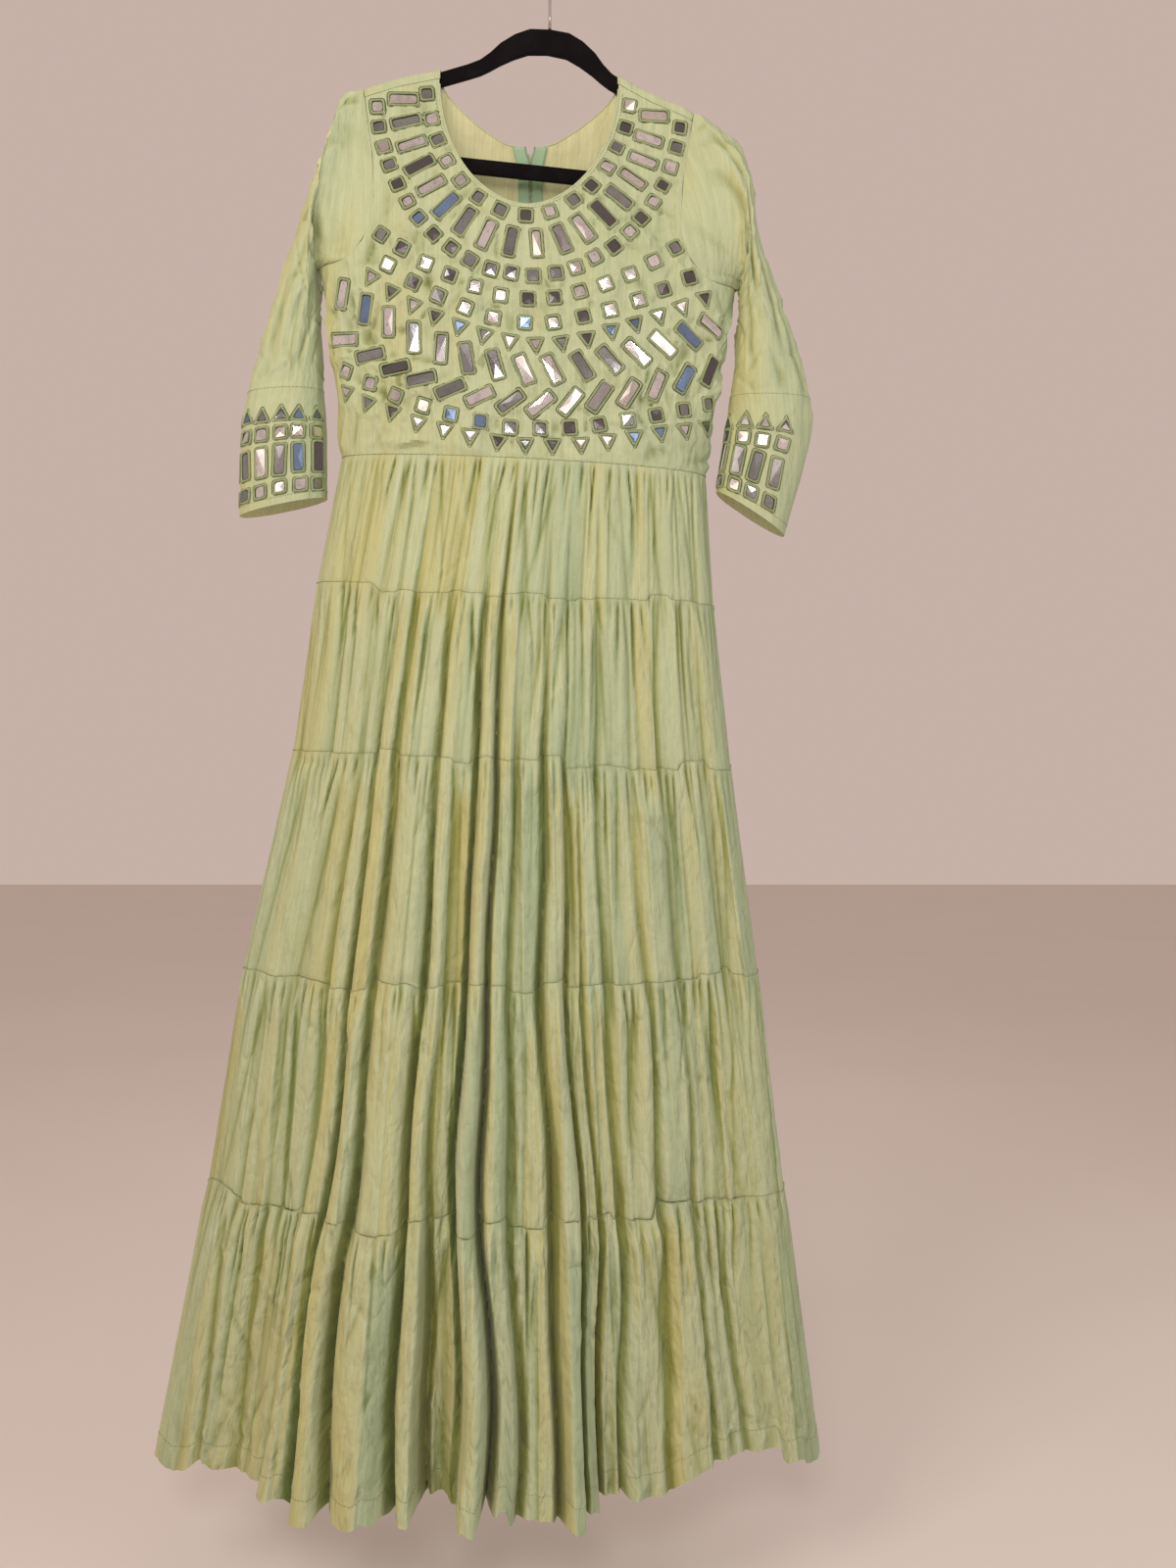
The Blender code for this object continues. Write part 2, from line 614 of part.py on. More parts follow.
def panel_wall(name, outline, normals, relief, spacing, place, finish):
    """A cloth panel with raised motifs on its outer face and a plain inner face.

    outline is in flat coordinates, counter-clockwise. normals are the wall's directions at the
    outline's points. relief lists the motifs. place turns flat points into places and normals.
    """
    outline = np.asarray(outline)
    low, high = outline.min(0), outline.max(0)
    steps = [np.arange(low[k] + spacing / 2, high[k], spacing) for k in (0, 1)]
    fill = np.array([(a, b) for a in steps[0] for b in steps[1]])
    fill = np.array([p for p in fill[inside_polygon(fill, outline)]
                     if clearance([p], outline) > spacing * 0.4])
    flat, lift, rings = [outline], [np.zeros(len(outline))], [list(range(len(outline)))]
    count = len(outline)
    for kind, centre, angle in relief:
        for shrink, height in ((0.0, 0.0), (MIRROR_TAPER, MIRROR_LIFT)):
            corners = placed(kind, centre, angle, shrink)
            rings.append(list(range(count, count + len(corners))))
            flat.append(corners)
            lift.append(np.full(len(corners), height))
            count += len(corners)
    open_fill = [p for p in fill if not relief
                 or min(np.linalg.norm(np.asarray(c) - p) for _, c, _ in relief) > spacing * 0.5]
    flat_out = np.vstack(flat + ([open_fill] if len(open_fill) else []))
    lift = np.concatenate(lift + [np.zeros(len(open_fill))])
    faces_out = triangulate(flat_out, rings)
    flat_in = np.vstack([outline, fill])
    faces_in = triangulate(flat_in, rings[:1])
    spots, directions = place(flat_out)
    outer = spots + directions * lift[:, None]
    spots_in, directions_in = place(flat_in)
    directions_in[:len(outline)] = normals
    inner = spots_in - directions_in * CLOTH
    edge = list(range(len(outline)))
    points, faces = walled(outer, inner, faces_out, faces_in, [(edge, edge)])
    return add_object(name, points, faces, finish)


def bodice_front():
    seam = SHOULDER_SEAM + GAP / 2
    flat, normals = [], []

    def add(xz):
        laterals, levels = flat_from(xz[:, 0], xz[:, 1])
        across = [to_across(a, b, FRONT) for a, b in zip(laterals, levels)]
        flat.extend(zip(across, levels))
        normals.extend(bodice_normal(laterals, levels, FRONT))

    waist = SEAMS["z"][0] + GAP / 2
    laterals = np.linspace(-1, 1, 25)
    add(on_bodice(laterals, np.full(25, waist), FRONT)[:, (0, 2)])
    for side_x in (1, -1):
        ups = np.append(ARM_UPS, up_of_drop(side_x, seam))
        arm = armhole_line(side_x, ups)
        under = level_of(*arm[0])
        side = on_bodice(np.full(6, float(side_x)), np.linspace(waist, under, 8)[1:-1], FRONT)[:, (0, 2)]
        neck = neck_curve(33, NECK_FRONT_Z, NECK_ROUND, seam)
        start, end = arm[-1], (neck[-1] if side_x > 0 else neck[0])
        x = np.linspace(start[0], end[0], 6)[1:-1]
        shoulder = np.stack([x, ridge(x) - seam], axis=1)
        if side_x > 0:
            add(side)
            add(arm)
            add(shoulder)
            add(neck[::-1])
        else:
            add(shoulder[::-1])
            add(arm[::-1])
            add(side[::-1])
    outline = np.array(flat)

    def place(points):
        laterals = np.array([to_lateral(a, b, FRONT) for a, b in points])
        return (on_bodice(laterals, points[:, 1], FRONT),
                bodice_normal(laterals, points[:, 1], FRONT))

    panel_wall("bodice_front", outline, normals, front_mirrors(outline), 0.026, place, "cloth")


def back_neck(side_x, count):
    """Half of the back neckline, from the shoulder to the top of the zip's notch."""
    curve = neck_curve(4 * count + 1, NECK_BACK_Z, NECK_BACK_ROUND, SHOULDER_SEAM)
    half = curve[:2 * count + 1] if side_x < 0 else curve[2 * count:][::-1]
    stop = GOWN_X + side_x * ZIP_NOTCH_HALF
    run = np.concatenate([[0], np.cumsum(np.linalg.norm(np.diff(half, axis=0), axis=1))])
    end = np.interp(-abs(stop - GOWN_X), -np.abs(half[:, 0] - GOWN_X), run)
    at = np.linspace(0, end, count)
    return np.stack([np.interp(at, run, half[:, k]) for k in (0, 1)], axis=1)


def back_grid(side_x):
    """Outer points and wall directions of a back half: rows from the shoulder seam down.

    Column 0 runs along the neckline and the centre back, the last along the armhole and side.
    Below the notch column 1 lies one tape's width from the centre, for the zip.
    """
    drops = np.concatenate([[SHOULDER_SEAM - GAP / 2], FOLD_DROPS[1:], [0], FOLD_DROPS[::-1]])
    sides = [FRONT] * len(FOLD_DROPS) + [BACK] * (len(FOLD_DROPS) + 1)
    columns = 9
    neck_x = GOWN_X + side_x * NECK_HALF
    rows, normals = [], []
    for drop, side in zip(drops, sides):
        arm_x = armhole_line(side_x, np.array([up_of_drop(side_x, drop)]))[0, 0]
        x = np.linspace(neck_x, arm_x, columns)
        points, directions = on_front_view(x, ridge(x) - drop, side)
        if drop == 0:
            points[:, 1] = 0
            directions = unit(directions * (1, 0, 1))
        rows.append(points)
        normals.append(directions)
    waist = SEAMS["z"][0] + GAP / 2
    arm = armhole_line(side_x, ARM_UPS[::-1])
    arm_flat = np.stack(flat_from(arm[:, 0], arm[:, 1]), axis=1)
    side_levels = np.linspace(arm_flat[-1, 1], waist, 8)[1:]
    outer = np.vstack([arm_flat, [(side_x, level) for level in side_levels]])
    neck = back_neck(side_x, 7)[1:]
    notch = (GOWN_X + side_x * GAP / 2, NECK_BACK_Z - ZIP_NOTCH)
    inner = [flat_from(*p) for p in neck] + [flat_from(*notch)]
    levels = np.linspace(inner[-1][1], waist, len(outer) - len(inner) + 1)[1:]
    inner = np.array(inner + [(flat_from(notch[0], level)[0], level) for level in levels])
    first_tape_row = len(drops) + len(neck)
    for (lat_in, level_in), (lat_out, level_out) in zip(inner, outer):
        across_in = to_across(lat_in, level_in, BACK)
        across_out = to_across(lat_out, level_out, BACK)
        share = np.linspace(0, 1, columns)
        share[1] = ZIP_TAPE / abs(across_out - across_in)
        share[2:] = share[1] + (1 - share[1]) * np.arange(1, columns - 1) / (columns - 2)
        level = level_in + (level_out - level_in) * share
        across = across_in + (across_out - across_in) * share
        lateral = np.array([to_lateral(a, b, BACK) for a, b in zip(across, level)])
        rows.append(on_bodice(lateral, level, BACK))
        normals.append(bodice_normal(lateral, level, BACK))
    return np.array(rows), np.array(normals), first_tape_row


def grid_wall(name, rows, normals, near, far, finish):
    """A wall between two offsets of an open grid of points, along its wall directions."""
    count_r, count_c = rows.shape[:2]
    outer = (rows - normals * near).reshape(-1, 3)
    inner = (rows - normals * far).reshape(-1, 3)
    faces = grid_faces(count_r, count_c)
    last = (count_r - 1) * count_c
    edge = list(range(count_c)) + [r * count_c + count_c - 1 for r in range(1, count_r)]
    edge += [last + c for c in range(count_c - 2, -1, -1)]
    edge += [r * count_c for r in range(count_r - 2, 0, -1)]
    points, faces = walled(outer, inner, faces, faces, [(edge, edge)])
    return add_object(name, points, faces, finish)


def bodice_back_and_zip():
    for side_x, word in ((-1, "left"), (1, "right")):
        rows, normals, tape_row = back_grid(side_x)
        grid_wall("bodice_back_" + word, rows, normals, 0, CLOTH, "cloth")
        start = CLOTH + GAP
        grid_wall("zip_tape_" + word, rows[tape_row:-1, :2], normals[tape_row:-1, :2],
                  start, start + TAPE_THICK, "zip_tape")


def zip_slider_and_pull():
    """The slider sits in the notch. Its pull hangs from a pin between two ears behind it."""
    width, depth, height = SLIDER
    top = NECK_BACK_Z - 2 * GAP
    cloth_y = on_front_view(GOWN_X, top - height, BACK)[0][1]
    low = (GOWN_X - width / 2, cloth_y - depth * 0.6, top - height)
    high = (GOWN_X + width / 2, cloth_y + depth * 0.4, top)
    body = block("zip_slider", low, high, "zip_metal")
    ear_top = top - height * 0.25
    pin = (GOWN_X, high[1] + EAR[1] - 2 * PIN_RADIUS, ear_top - EAR[2] / 2)
    parts = []
    for side_x, word in ((-1, "left"), (1, "right")):
        x = sorted((GOWN_X + side_x * width / 2, GOWN_X + side_x * (width / 2 - EAR[0])))
        parts.append(block("ear_" + word, (x[0], high[1] - EAR[0], ear_top - EAR[2]),
                           (x[1], high[1] + EAR[1], ear_top), "zip_metal"))
    reach = width / 2 - EAR[0] / 2
    turn = np.linspace(0, 2 * math.pi, PIN_SIDES, endpoint=False)
    ring = [(x, pin[1] + PIN_RADIUS * math.cos(a), pin[2] + PIN_RADIUS * math.sin(a))
            for x in (pin[0] - reach, pin[0] + reach) for a in turn]
    caps = [tuple(range(PIN_SIDES)), tuple(range(2 * PIN_SIDES - 1, PIN_SIDES - 1, -1))]
    faces = grid_faces(2, PIN_SIDES, closed=True) + caps
    parts.append(add_object("pin", ring, faces, "zip_metal"))
    fuse(body, *parts)

    foot = on_front_view(GOWN_X, pin[2] - PULL_LENGTH, BACK)[0]
    lean = math.atan2(foot[1] + PULL_THICK + GAP - pin[1], PULL_LENGTH)
    eye, hole = 3 * PIN_RADIUS, PIN_RADIUS + GAP
    half = PULL_THICK / 2
    bottom = math.asin(half / eye)
    outline = [(eye * math.sin(a), -eye * math.cos(a))
               for a in np.linspace(bottom, 2 * math.pi - bottom, 12)]
    outline += [(-half, -PULL_LENGTH), (half, -PULL_LENGTH)]
    opening = [(hole * math.sin(a), hole * math.cos(a)) for a in turn]

    def place(u, v, w):
        c, s = math.cos(lean), math.sin(lean)
        return pin[0] + w, pin[1] + u * c - v * s, pin[2] + u * s + v * c

    slab("zip_pull", outline, opening, PULL_WIDTH, "zip_metal", 0, place, pin)


# ---------------------------------------------------------------- sleeves

def sleeve_loop(side_x):
    """Places round the armhole from the underarm, up the front, over and down the back."""
    fold = np.array([up_of_drop(side_x, drop) for drop in FOLD_DROPS])
    front = np.concatenate([ARM_UPS, fold, [1]])
    return np.concatenate([front, front[-2:0:-1]]), np.array([FRONT] * len(front)
                                                             + [BACK] * (len(front) - 2))


def sleeve_points(side_x):
    """Rows of outer points and their wall directions, from the armhole to the cuff."""
    ups, sides = sleeve_loop(side_x)
    line = armhole_line(side_x, ups)
    first, directions = np.zeros((len(ups), 3)), np.zeros((len(ups), 3))
    for side in (FRONT, BACK):
        pick = sides == side
        laterals, levels = flat_from(line[pick, 0], line[pick, 1])
        first[pick] = on_bodice(laterals, levels, side)
        directions[pick] = bodice_normal(laterals, levels, side)
    for at_fold in (0, len(ARM_UPS) + len(FOLD_DROPS)):
        first[at_fold, 1] = 0
        directions[at_fold] = unit(directions[at_fold] * (1, 0, 1))
    along = unit(np.roll(first, -1, axis=0) - np.roll(first, 1, axis=0))
    away = unit(np.cross(directions, along)) * -side_x
    ease = 1 + UNDERARM_EASE * np.clip(1 - ups / 0.1, 0, 1)
    rows = [first + away * (GAP * ease)[:, None]]
    turn = np.arccos(1 - 2 * ups)
    share = (1 - np.cos(turn)) / 2
    bulge = sides * np.sin(turn).clip(0) ** SIDE_ROUND
    for r in range(len(SLEEVE[side_x]["depth"])):
        get = {name: SLEEVE[side_x][name][r] for name in SLEEVE[side_x]}
        x = get["in_x"] + (get["out_x"] - get["in_x"]) * share
        z = get["in_z"] + (get["out_z"] - get["in_z"]) * share
        rows.append(np.stack([x, bulge * get["depth"], z], axis=1))
    rows = np.array(rows)
    round_step = np.roll(rows, -1, axis=1) - np.roll(rows, 1, axis=1)
    normals = unit(np.cross(np.gradient(rows, axis=0), round_step)) * side_x
    normals[0] = directions
    return rows, normals


def cuff_strip(rows, normals, start):
    """Outer face of the cuff with its mirrors, cut open at the middle of the back.

    Returns the new outer points and all faces. Its edge points are named by row and column.
    """
    columns = rows.shape[1]
    order = [(start + k) % columns for k in range(columns + 1)]
    end = rows[-1][order]
    run = np.concatenate([[0], np.cumsum(np.linalg.norm(np.diff(end, axis=0), axis=1))])
    lift_rows = rows[CUFF_TOP:]
    up = np.linalg.norm(np.diff(lift_rows, axis=0), axis=2).mean(axis=1)[::-1]
    heights = np.concatenate([[0], np.cumsum(up)])[::-1]
    across = run[-1]
    flat = [(r, 0.0) for r in run] + [(across, heights[1])]
    flat += [(r, heights[0]) for r in run[::-1]] + [(0.0, heights[1])]
    names = [("end", c) for c in order] + [("middle", start)]
    names += [("top", c) for c in order[::-1]] + [("middle", start)]
    rings, motifs = [list(range(len(flat)))], []
    lifts = [0.0] * len(flat)
    for kind, height in CUFF_ROWS:
        for k in range(CUFF_COLUMNS):
            centre = (across / 2 + (k - (CUFF_COLUMNS - 1) / 2) * CUFF_STEP, height)
            motifs.append(centre)
            for shrink, lift in ((0.0, 0.0), (MIRROR_TAPER, MIRROR_LIFT)):
                corners = placed(kind, centre, 0.0, shrink)
                rings.append(list(range(len(flat), len(flat) + len(corners))))
                flat += [tuple(c) for c in corners]
                lifts += [lift] * len(corners)
                names += [None] * len(corners)
    for c, r in zip(order[1:-1], run[1:-1]):
        if min(math.hypot(r - u, heights[1] - v) for u, v in motifs) > CUFF_CLEAR:
            flat.append((r, heights[1]))
            lifts.append(0.0)
            names.append(("middle", c))
    faces = triangulate(flat, rings)
    ring_rows, ring_normals = rows[CUFF_TOP:][:, order], normals[CUFF_TOP:][:, order]
    places = []
    for (u, v), lift in zip(flat, lifts):
        spot, direction = np.zeros(3), np.zeros(3)
        for k in range(3):
            for sums, source in ((spot, ring_rows), (direction, ring_normals)):
                by_row = [np.interp(u, run, source[r][:, k]) for r in (2, 1, 0)]
                sums[k] = np.interp(v, heights[::-1], by_row)
        places.append(spot + unit(direction) * lift)
    return places, names, faces


def sleeve(side_x, word):
    rows, normals = sleeve_points(side_x)
    count_r, count_c = rows.shape[:2]
    back_middle = len(ARM_UPS) + len(FOLD_DROPS) + 1 + len(FOLD_DROPS) + len(ARM_UPS) // 2
    upper = CUFF_TOP + 1
    outer = list(rows[:upper].reshape(-1, 3))
    faces_out = grid_faces(upper, count_c, closed=True)
    places, names, faces = cuff_strip(rows, normals, back_middle)
    found, renamed = {("top", c): CUFF_TOP * count_c + c for c in range(count_c)}, []
    for place, name in zip(places, names):
        if name is None or name not in found:
            if name is not None:
                found[name] = len(outer)
            renamed.append(len(outer))
            outer.append(place)
        else:
            renamed.append(found[name])
    faces_out += [tuple(renamed[i] for i in face) for face in faces]
    inner = (rows - normals * CLOTH).reshape(-1, 3)
    faces_in = grid_faces(count_r, count_c, closed=True)
    end = [found[("end", c)] for c in range(count_c)]
    loops = [(list(range(count_c)), list(range(count_c))),
             (end[::-1], list(range((count_r - 1) * count_c, count_r * count_c))[::-1])]
    points, faces = walled(np.array(outer), inner, faces_out, faces_in, loops)
    add_object("sleeve_" + word, points, faces, "cloth")


# ---------------------------------------------------------------- skirt

def seam_at(level, column):
    return np.interp(level, np.arange(len(SEAMS["z"])), SEAMS[column])


def skirt_base(turn, level):
    """Plan of the skirt without folds. Turn runs from the left side (-90 degrees) by the front."""
    across, forward = np.sin(turn), np.cos(turn)
    left, right, middle = (seam_at(level, c) for c in ("left", "right", "middle"))
    x = middle + across * np.where(across < 0, middle - left, right - middle)
    reach, lens = np.abs(forward), seam_at(level, "lens")
    shape = (1 - lens) * reach ** SIDE_ROUND + lens * reach ** LENS_POWER
    front = seam_at(level, "front") * (1 - seam_at(level, "skew") * across)
    depth = np.where(forward > 0, front, seam_at(level, "back"))
    return np.stack([x, -np.sign(forward) * depth * shape], axis=-1)


def outward(plan):
    """Outward directions at the points of a closed plan that runs anticlockwise."""
    edge = unit(np.roll(plan, -1, axis=0) - plan)
    normal = np.stack([edge[:, 1], -edge[:, 0]], axis=1)
    return unit(normal + np.roll(normal, 1, axis=0)), normal


def moved_in(plan, distance):
    """The plan's inner wall, mitred at its corners."""
    mitre, normal = outward(plan)
    stretch = 1 / np.clip((mitre * normal).sum(axis=1), 0.45, 1)
    return plan - mitre * (distance * stretch)[:, None]


def fold_lines():
    """Angles of the large valleys all round, with their depths, lobes and lateness."""
    front, back = FRONT_FOLDS, BACK_FOLDS
    angles = np.concatenate([np.arcsin(front["across"]), math.pi - np.arcsin(back["across"])])
    rest = [np.concatenate([front[c], back[c]]) for c in ("valley", "lobe", "late")]
    return [angles] + rest


def large_folds(turn, level):
    """How far the cloth stands out of the plain plan: lobes between narrow valleys."""
    angles, valley, lobe, late = fold_lines()
    turn = (np.asarray(turn) + math.pi / 2) % (2 * math.pi) - math.pi / 2
    here = np.clip(np.searchsorted(angles, turn + 1e-9) - 1, 0, len(angles) - 1)
    after = (here + 1) % len(angles)
    stop = np.where(after == 0, angles[0] + 2 * math.pi, angles[after])
    share = (turn - angles[here]) / (stop - angles[here])
    grow = (level / 5) ** late
    ease = [np.clip(1 - s / VALLEY_WIDTH, 0, 1) ** VALLEY_POWER for s in (share, 1 - share)]
    out = lobe[here] * grow[here] * np.clip(np.sin(math.pi * share), 0, 1) ** LOBE_POWER
    out = out - valley[here] * grow[here] * ease[0] - valley[after] * grow[after] * ease[1]
    room = np.abs(skirt_base(turn, level)[:, 1])
    return out / 1000 * np.clip(room / FOLD_ROOM, 0.1, 1)


def gather_lines(tier):
    """Evenly spread but uneven valleys of an upper tier's gathers, as angles."""
    fine = np.linspace(-math.pi / 2, 1.5 * math.pi, 721)
    plan = skirt_base(fine, tier + 0.5)
    run = np.concatenate([[0], np.cumsum(np.linalg.norm(np.diff(plan, axis=0), axis=1))])
    uneven = np.random.default_rng(SEED + tier).uniform(-0.22, 0.22, GATHERS[tier])
    at = (np.arange(GATHERS[tier]) + 0.5 + uneven) / GATHERS[tier] * run[-1]
    return np.interp(at, run, fine)


def tier_columns(tier):
    """Angles of a tier's columns, three to a fold, and how far each leans out of its gather."""
    lines = gather_lines(tier) if tier < len(GATHERS) else fold_lines()[0]
    ahead = np.append(lines[1:], lines[0] + 2 * math.pi)
    turn = np.stack([lines + (ahead - lines) * share for share in (0, 1 / 3, 2 / 3)], axis=1)
    sway = np.tile([-1.0, 0.6, 0.6], len(lines))
    return turn.ravel(), sway


def skirt_tier(tier):
    turn, sway = tier_columns(tier)
    rows, inner_rows = [], []
    for down in BANDS[tier]:
        level = tier + down
        base = skirt_base(turn, level)
        out = large_folds(turn, level)
        if tier < len(GATHERS):
            out = out + sway * np.interp(down, GATHER["down"], GATHER["depth"]) / 1000
        plan = base + outward(base)[0] * out[:, None]
        clear = GAP / 2 * ((down == 1) - (down == 0))
        for made, kept in ((plan, rows), (moved_in(plan, CLOTH), inner_rows)):
            z = seam_at(level, "z") - seam_at(level, "slope") * (made[:, 0] - GOWN_X) + clear
            kept.append(np.column_stack([made, z]))
    rows, inner_rows = np.array(rows), np.array(inner_rows)
    count_r, count_c = rows.shape[:2]
    faces = grid_faces(count_r, count_c, closed=True)
    top, end = list(range(count_c)), list(range((count_r - 1) * count_c, count_r * count_c))
    points, faces = walled(rows.reshape(-1, 3), inner_rows.reshape(-1, 3), faces, faces,
                           [(top, top), (end[::-1], end[::-1])])
    add_object("skirt_tier_%d" % (tier + 1), points, faces, "cloth")


def main():
    clear_scene()
    hanger()
    hanger_hook()
    bodice_front()
    bodice_back_and_zip()
    zip_slider_and_pull()
    sleeve(-1, "left")
    sleeve(1, "right")
    for tier in range(5):
        skirt_tier(tier)


if __name__ == "__main__":
    main()
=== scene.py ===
"""The looks of the anarkali gown: gathered cloth, mirror work, sewing, zip and hanger.

Metres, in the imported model's frame. The front faces -Y and the hook's bend is at the origin.
"""
import math

import bmesh
import bpy
import numpy as np
from bpy.props import FloatProperty, FloatVectorProperty, PointerProperty
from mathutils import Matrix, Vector
from mathutils.bvhtree import BVHTree
from mathutils.geometry import delaunay_2d_cdt


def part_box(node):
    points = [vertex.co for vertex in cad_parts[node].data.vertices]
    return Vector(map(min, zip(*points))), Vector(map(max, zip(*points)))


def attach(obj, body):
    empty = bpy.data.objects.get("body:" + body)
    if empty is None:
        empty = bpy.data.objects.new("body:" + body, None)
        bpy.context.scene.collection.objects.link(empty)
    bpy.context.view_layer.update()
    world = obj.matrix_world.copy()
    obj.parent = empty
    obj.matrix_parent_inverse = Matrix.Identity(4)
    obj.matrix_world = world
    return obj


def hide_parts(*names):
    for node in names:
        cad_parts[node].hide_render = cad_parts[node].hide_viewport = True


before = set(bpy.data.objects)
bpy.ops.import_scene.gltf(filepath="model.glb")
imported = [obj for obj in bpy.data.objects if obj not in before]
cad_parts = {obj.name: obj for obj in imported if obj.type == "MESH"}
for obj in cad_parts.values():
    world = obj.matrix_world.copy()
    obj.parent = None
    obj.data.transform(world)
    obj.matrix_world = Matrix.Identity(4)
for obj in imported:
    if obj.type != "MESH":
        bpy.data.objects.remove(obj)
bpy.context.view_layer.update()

bl_info = {
    "name": "Tiered anarkali gown",
    "version": (1, 0, 0),
    "blender": (4, 5, 0),
    "location": "View3D > Sidebar > Gown",
    "description": "Dresses the packed gown in cloth, mirror work and sewing",
    "category": "Object",
}

FRONT, BACK = -1, 1       # signs of Y
SIDES = ((-1, "left"), (1, "right"))
INWARDS = np.array([0.0, -1.0, 0.0])      # from the back's cloth to the gown's inside
GAP = 0.0003              # between neighbouring solids
CLOTH_SOLID = 0.0015      # the solids' wall
HANGER_TOP = -0.0702      # top of the velvet, under the hook's bend
HANGER_TILT = math.radians(6)
HANGER_THICK = 0.0055
HANGER_CLEAR = 0.0012     # between the velvet and the cloth
ARM_TAPER = 0.975         # the opening's arms against the outline's
BAR_DROP = 0.1292         # from the velvet's top to its bar
BAR_HEIGHT = 0.014
HOOK_INSIDE = 0.018       # radius inside the bend
WIRE = 0.0015             # radius of the hook's wire
HOOK_BEND = math.radians(75)

GOWN_X = -0.020           # middle of the gown, which hangs off centre
BODICE_SLOPE = 0.050      # how much lower its right side hangs, per metre
SHOULDER_SEAM = 0.010     # from the ridge down to the seam, in front
NECK_HALF = 0.0865
NECK_FRONT_Z = -0.2500
NECK_BACK_Z = -0.1790
NECK_ROUND = 1.9          # 2 is an ellipse, less is more of a V
NECK_BACK_ROUND = 1.35
DRAPE_DROP = 0.17         # the bodice reaches its full depth this far below the ridge
ZIP_NOTCH = 0.024
ZIP_NOTCH_HALF = 0.0085
SIDE_ROUND = 0.85         # how a plan closes at the sides: 1 is an ellipse, more is a lens
LENS_POWER = 2.6          # the same, for the lower tiers
VALLEY_WIDTH = 0.27       # a valley's half width, as a share of its lobe
VALLEY_POWER = 1.5
LOBE_POWER = 0.6
FOLD_ROOM = 0.045         # folds are smaller where the skirt is thinner than this
UNDERARM_EASE = 2.5       # extra gap under the arm, in gaps
SAG_POWER = 1.7           # shape of the rows that sag
SAG_TURN = 0.8            # how far their motifs turn with them
MOTIF_APART = 0.0006      # least room between motifs
MOTIF_INSIDE = 0.002      # and to the panel's edge
MOTIF_REACH = 0.032       # motifs further apart than this can't touch
SEED = 7


def table(columns, rows):
    """Named columns of numbers, from a row for each section, fold or tier."""
    return dict(zip(columns.split(), np.array(rows, float).T))


ARM = table("out drop height", [
    (0.000, 0.0000, 0.0235),
    (0.019, 0.0014, 0.0240),
    (0.033, 0.0078, 0.0235),
    (0.046, 0.0175, 0.0210),
    (0.055, 0.0275, 0.0170),
    (0.064, 0.0352, 0.0145),
    (0.075, 0.0407, 0.0135),
    (0.103, 0.0520, 0.0130),
    (0.140, 0.0632, 0.0130),
    (0.172, 0.0765, 0.0130),
    (0.187, 0.0875, 0.0125),
    (0.193, 0.0965, 0.0120)])
TIP_OUTSIDE = [(0.193, 0.1060), (0.190, 0.1180), (0.183, 0.1310), (0.168, BAR_DROP + BAR_HEIGHT)]
TIP_INSIDE = [(0.180, 0.1120), (0.175, 0.1210), (0.162, BAR_DROP)]

BODICE = table("z left right front back", [
    (-0.110, -0.300, 0.262, 0.034, 0.030),
    (-0.240, -0.262, 0.222, 0.040, 0.035),
    (-0.3105, -0.2235, 0.1800, 0.045, 0.039),
    (-0.345, -0.2170, 0.1735, 0.047, 0.041),
    (-0.375, -0.2160, 0.1680, 0.048, 0.042),
    (-0.405, -0.2110, 0.1640, 0.049, 0.043),
    (-0.435, -0.2065, 0.1590, 0.050, 0.044),
    (-0.4905, -0.2033, 0.1515, 0.050, 0.045)])
ARMHOLE = table("up inward", [
    (0.000, 0.0000),
    (0.030, 0.0165),
    (0.075, 0.0285),
    (0.170, 0.0392),
    (0.300, 0.0420),
    (0.420, 0.0385),
    (0.640, 0.0262),
    (0.850, 0.0110),
    (1.000, 0.0000)])
UNDERARM = {-1: (-0.2228, -0.3003), 1: (0.1800, -0.3202)}
SHOULDER_OUT = {-1: -0.1800, 1: 0.1390}
ARM_UPS = np.array([0, 0.03, 0.075, 0.13, 0.2, 0.3, 0.42, 0.54, 0.66, 0.78, 0.88])
FOLD_DROPS = np.array([SHOULDER_SEAM, 0.0050, 0.0014])

# Lines round each sleeve: the underarm point x and z, the outer fold x and z, half the depth.
SLEEVE = {
    -1: [
        (-0.2265, -0.2985, -0.1985, -0.1325, 0.024),
        (-0.2270, -0.3040, -0.2125, -0.1600, 0.029),
        (-0.2264, -0.3110, -0.2250, -0.2050, 0.031),
        (-0.2254, -0.3200, -0.2395, -0.2450, 0.030),
        (-0.2246, -0.3330, -0.2552, -0.2920, 0.028),
        (-0.2240, -0.3530, -0.2710, -0.3400, 0.027),
        (-0.2232, -0.3900, -0.2850, -0.3840, 0.026),
        (-0.2215, -0.4180, -0.2960, -0.4220, 0.025),
        (-0.2195, -0.4480, -0.3010, -0.4540, 0.025),
        (-0.2190, -0.5190, -0.3046, -0.5370, 0.023)],
    1: [
        (0.1838, -0.3184, 0.1600, -0.1590, 0.024),
        (0.1848, -0.3245, 0.1868, -0.1830, 0.029),
        (0.1848, -0.3315, 0.1968, -0.2200, 0.031),
        (0.1843, -0.3400, 0.2030, -0.2640, 0.030),
        (0.1834, -0.3510, 0.2165, -0.3040, 0.028),
        (0.1822, -0.3680, 0.2310, -0.3470, 0.027),
        (0.1790, -0.4000, 0.2450, -0.3900, 0.026),
        (0.1752, -0.4240, 0.2545, -0.4270, 0.025),
        (0.1722, -0.4480, 0.2550, -0.4600, 0.025),
        (0.1625, -0.5130, 0.2295, -0.5560, 0.023)],
}
CUFF_TOP = 8

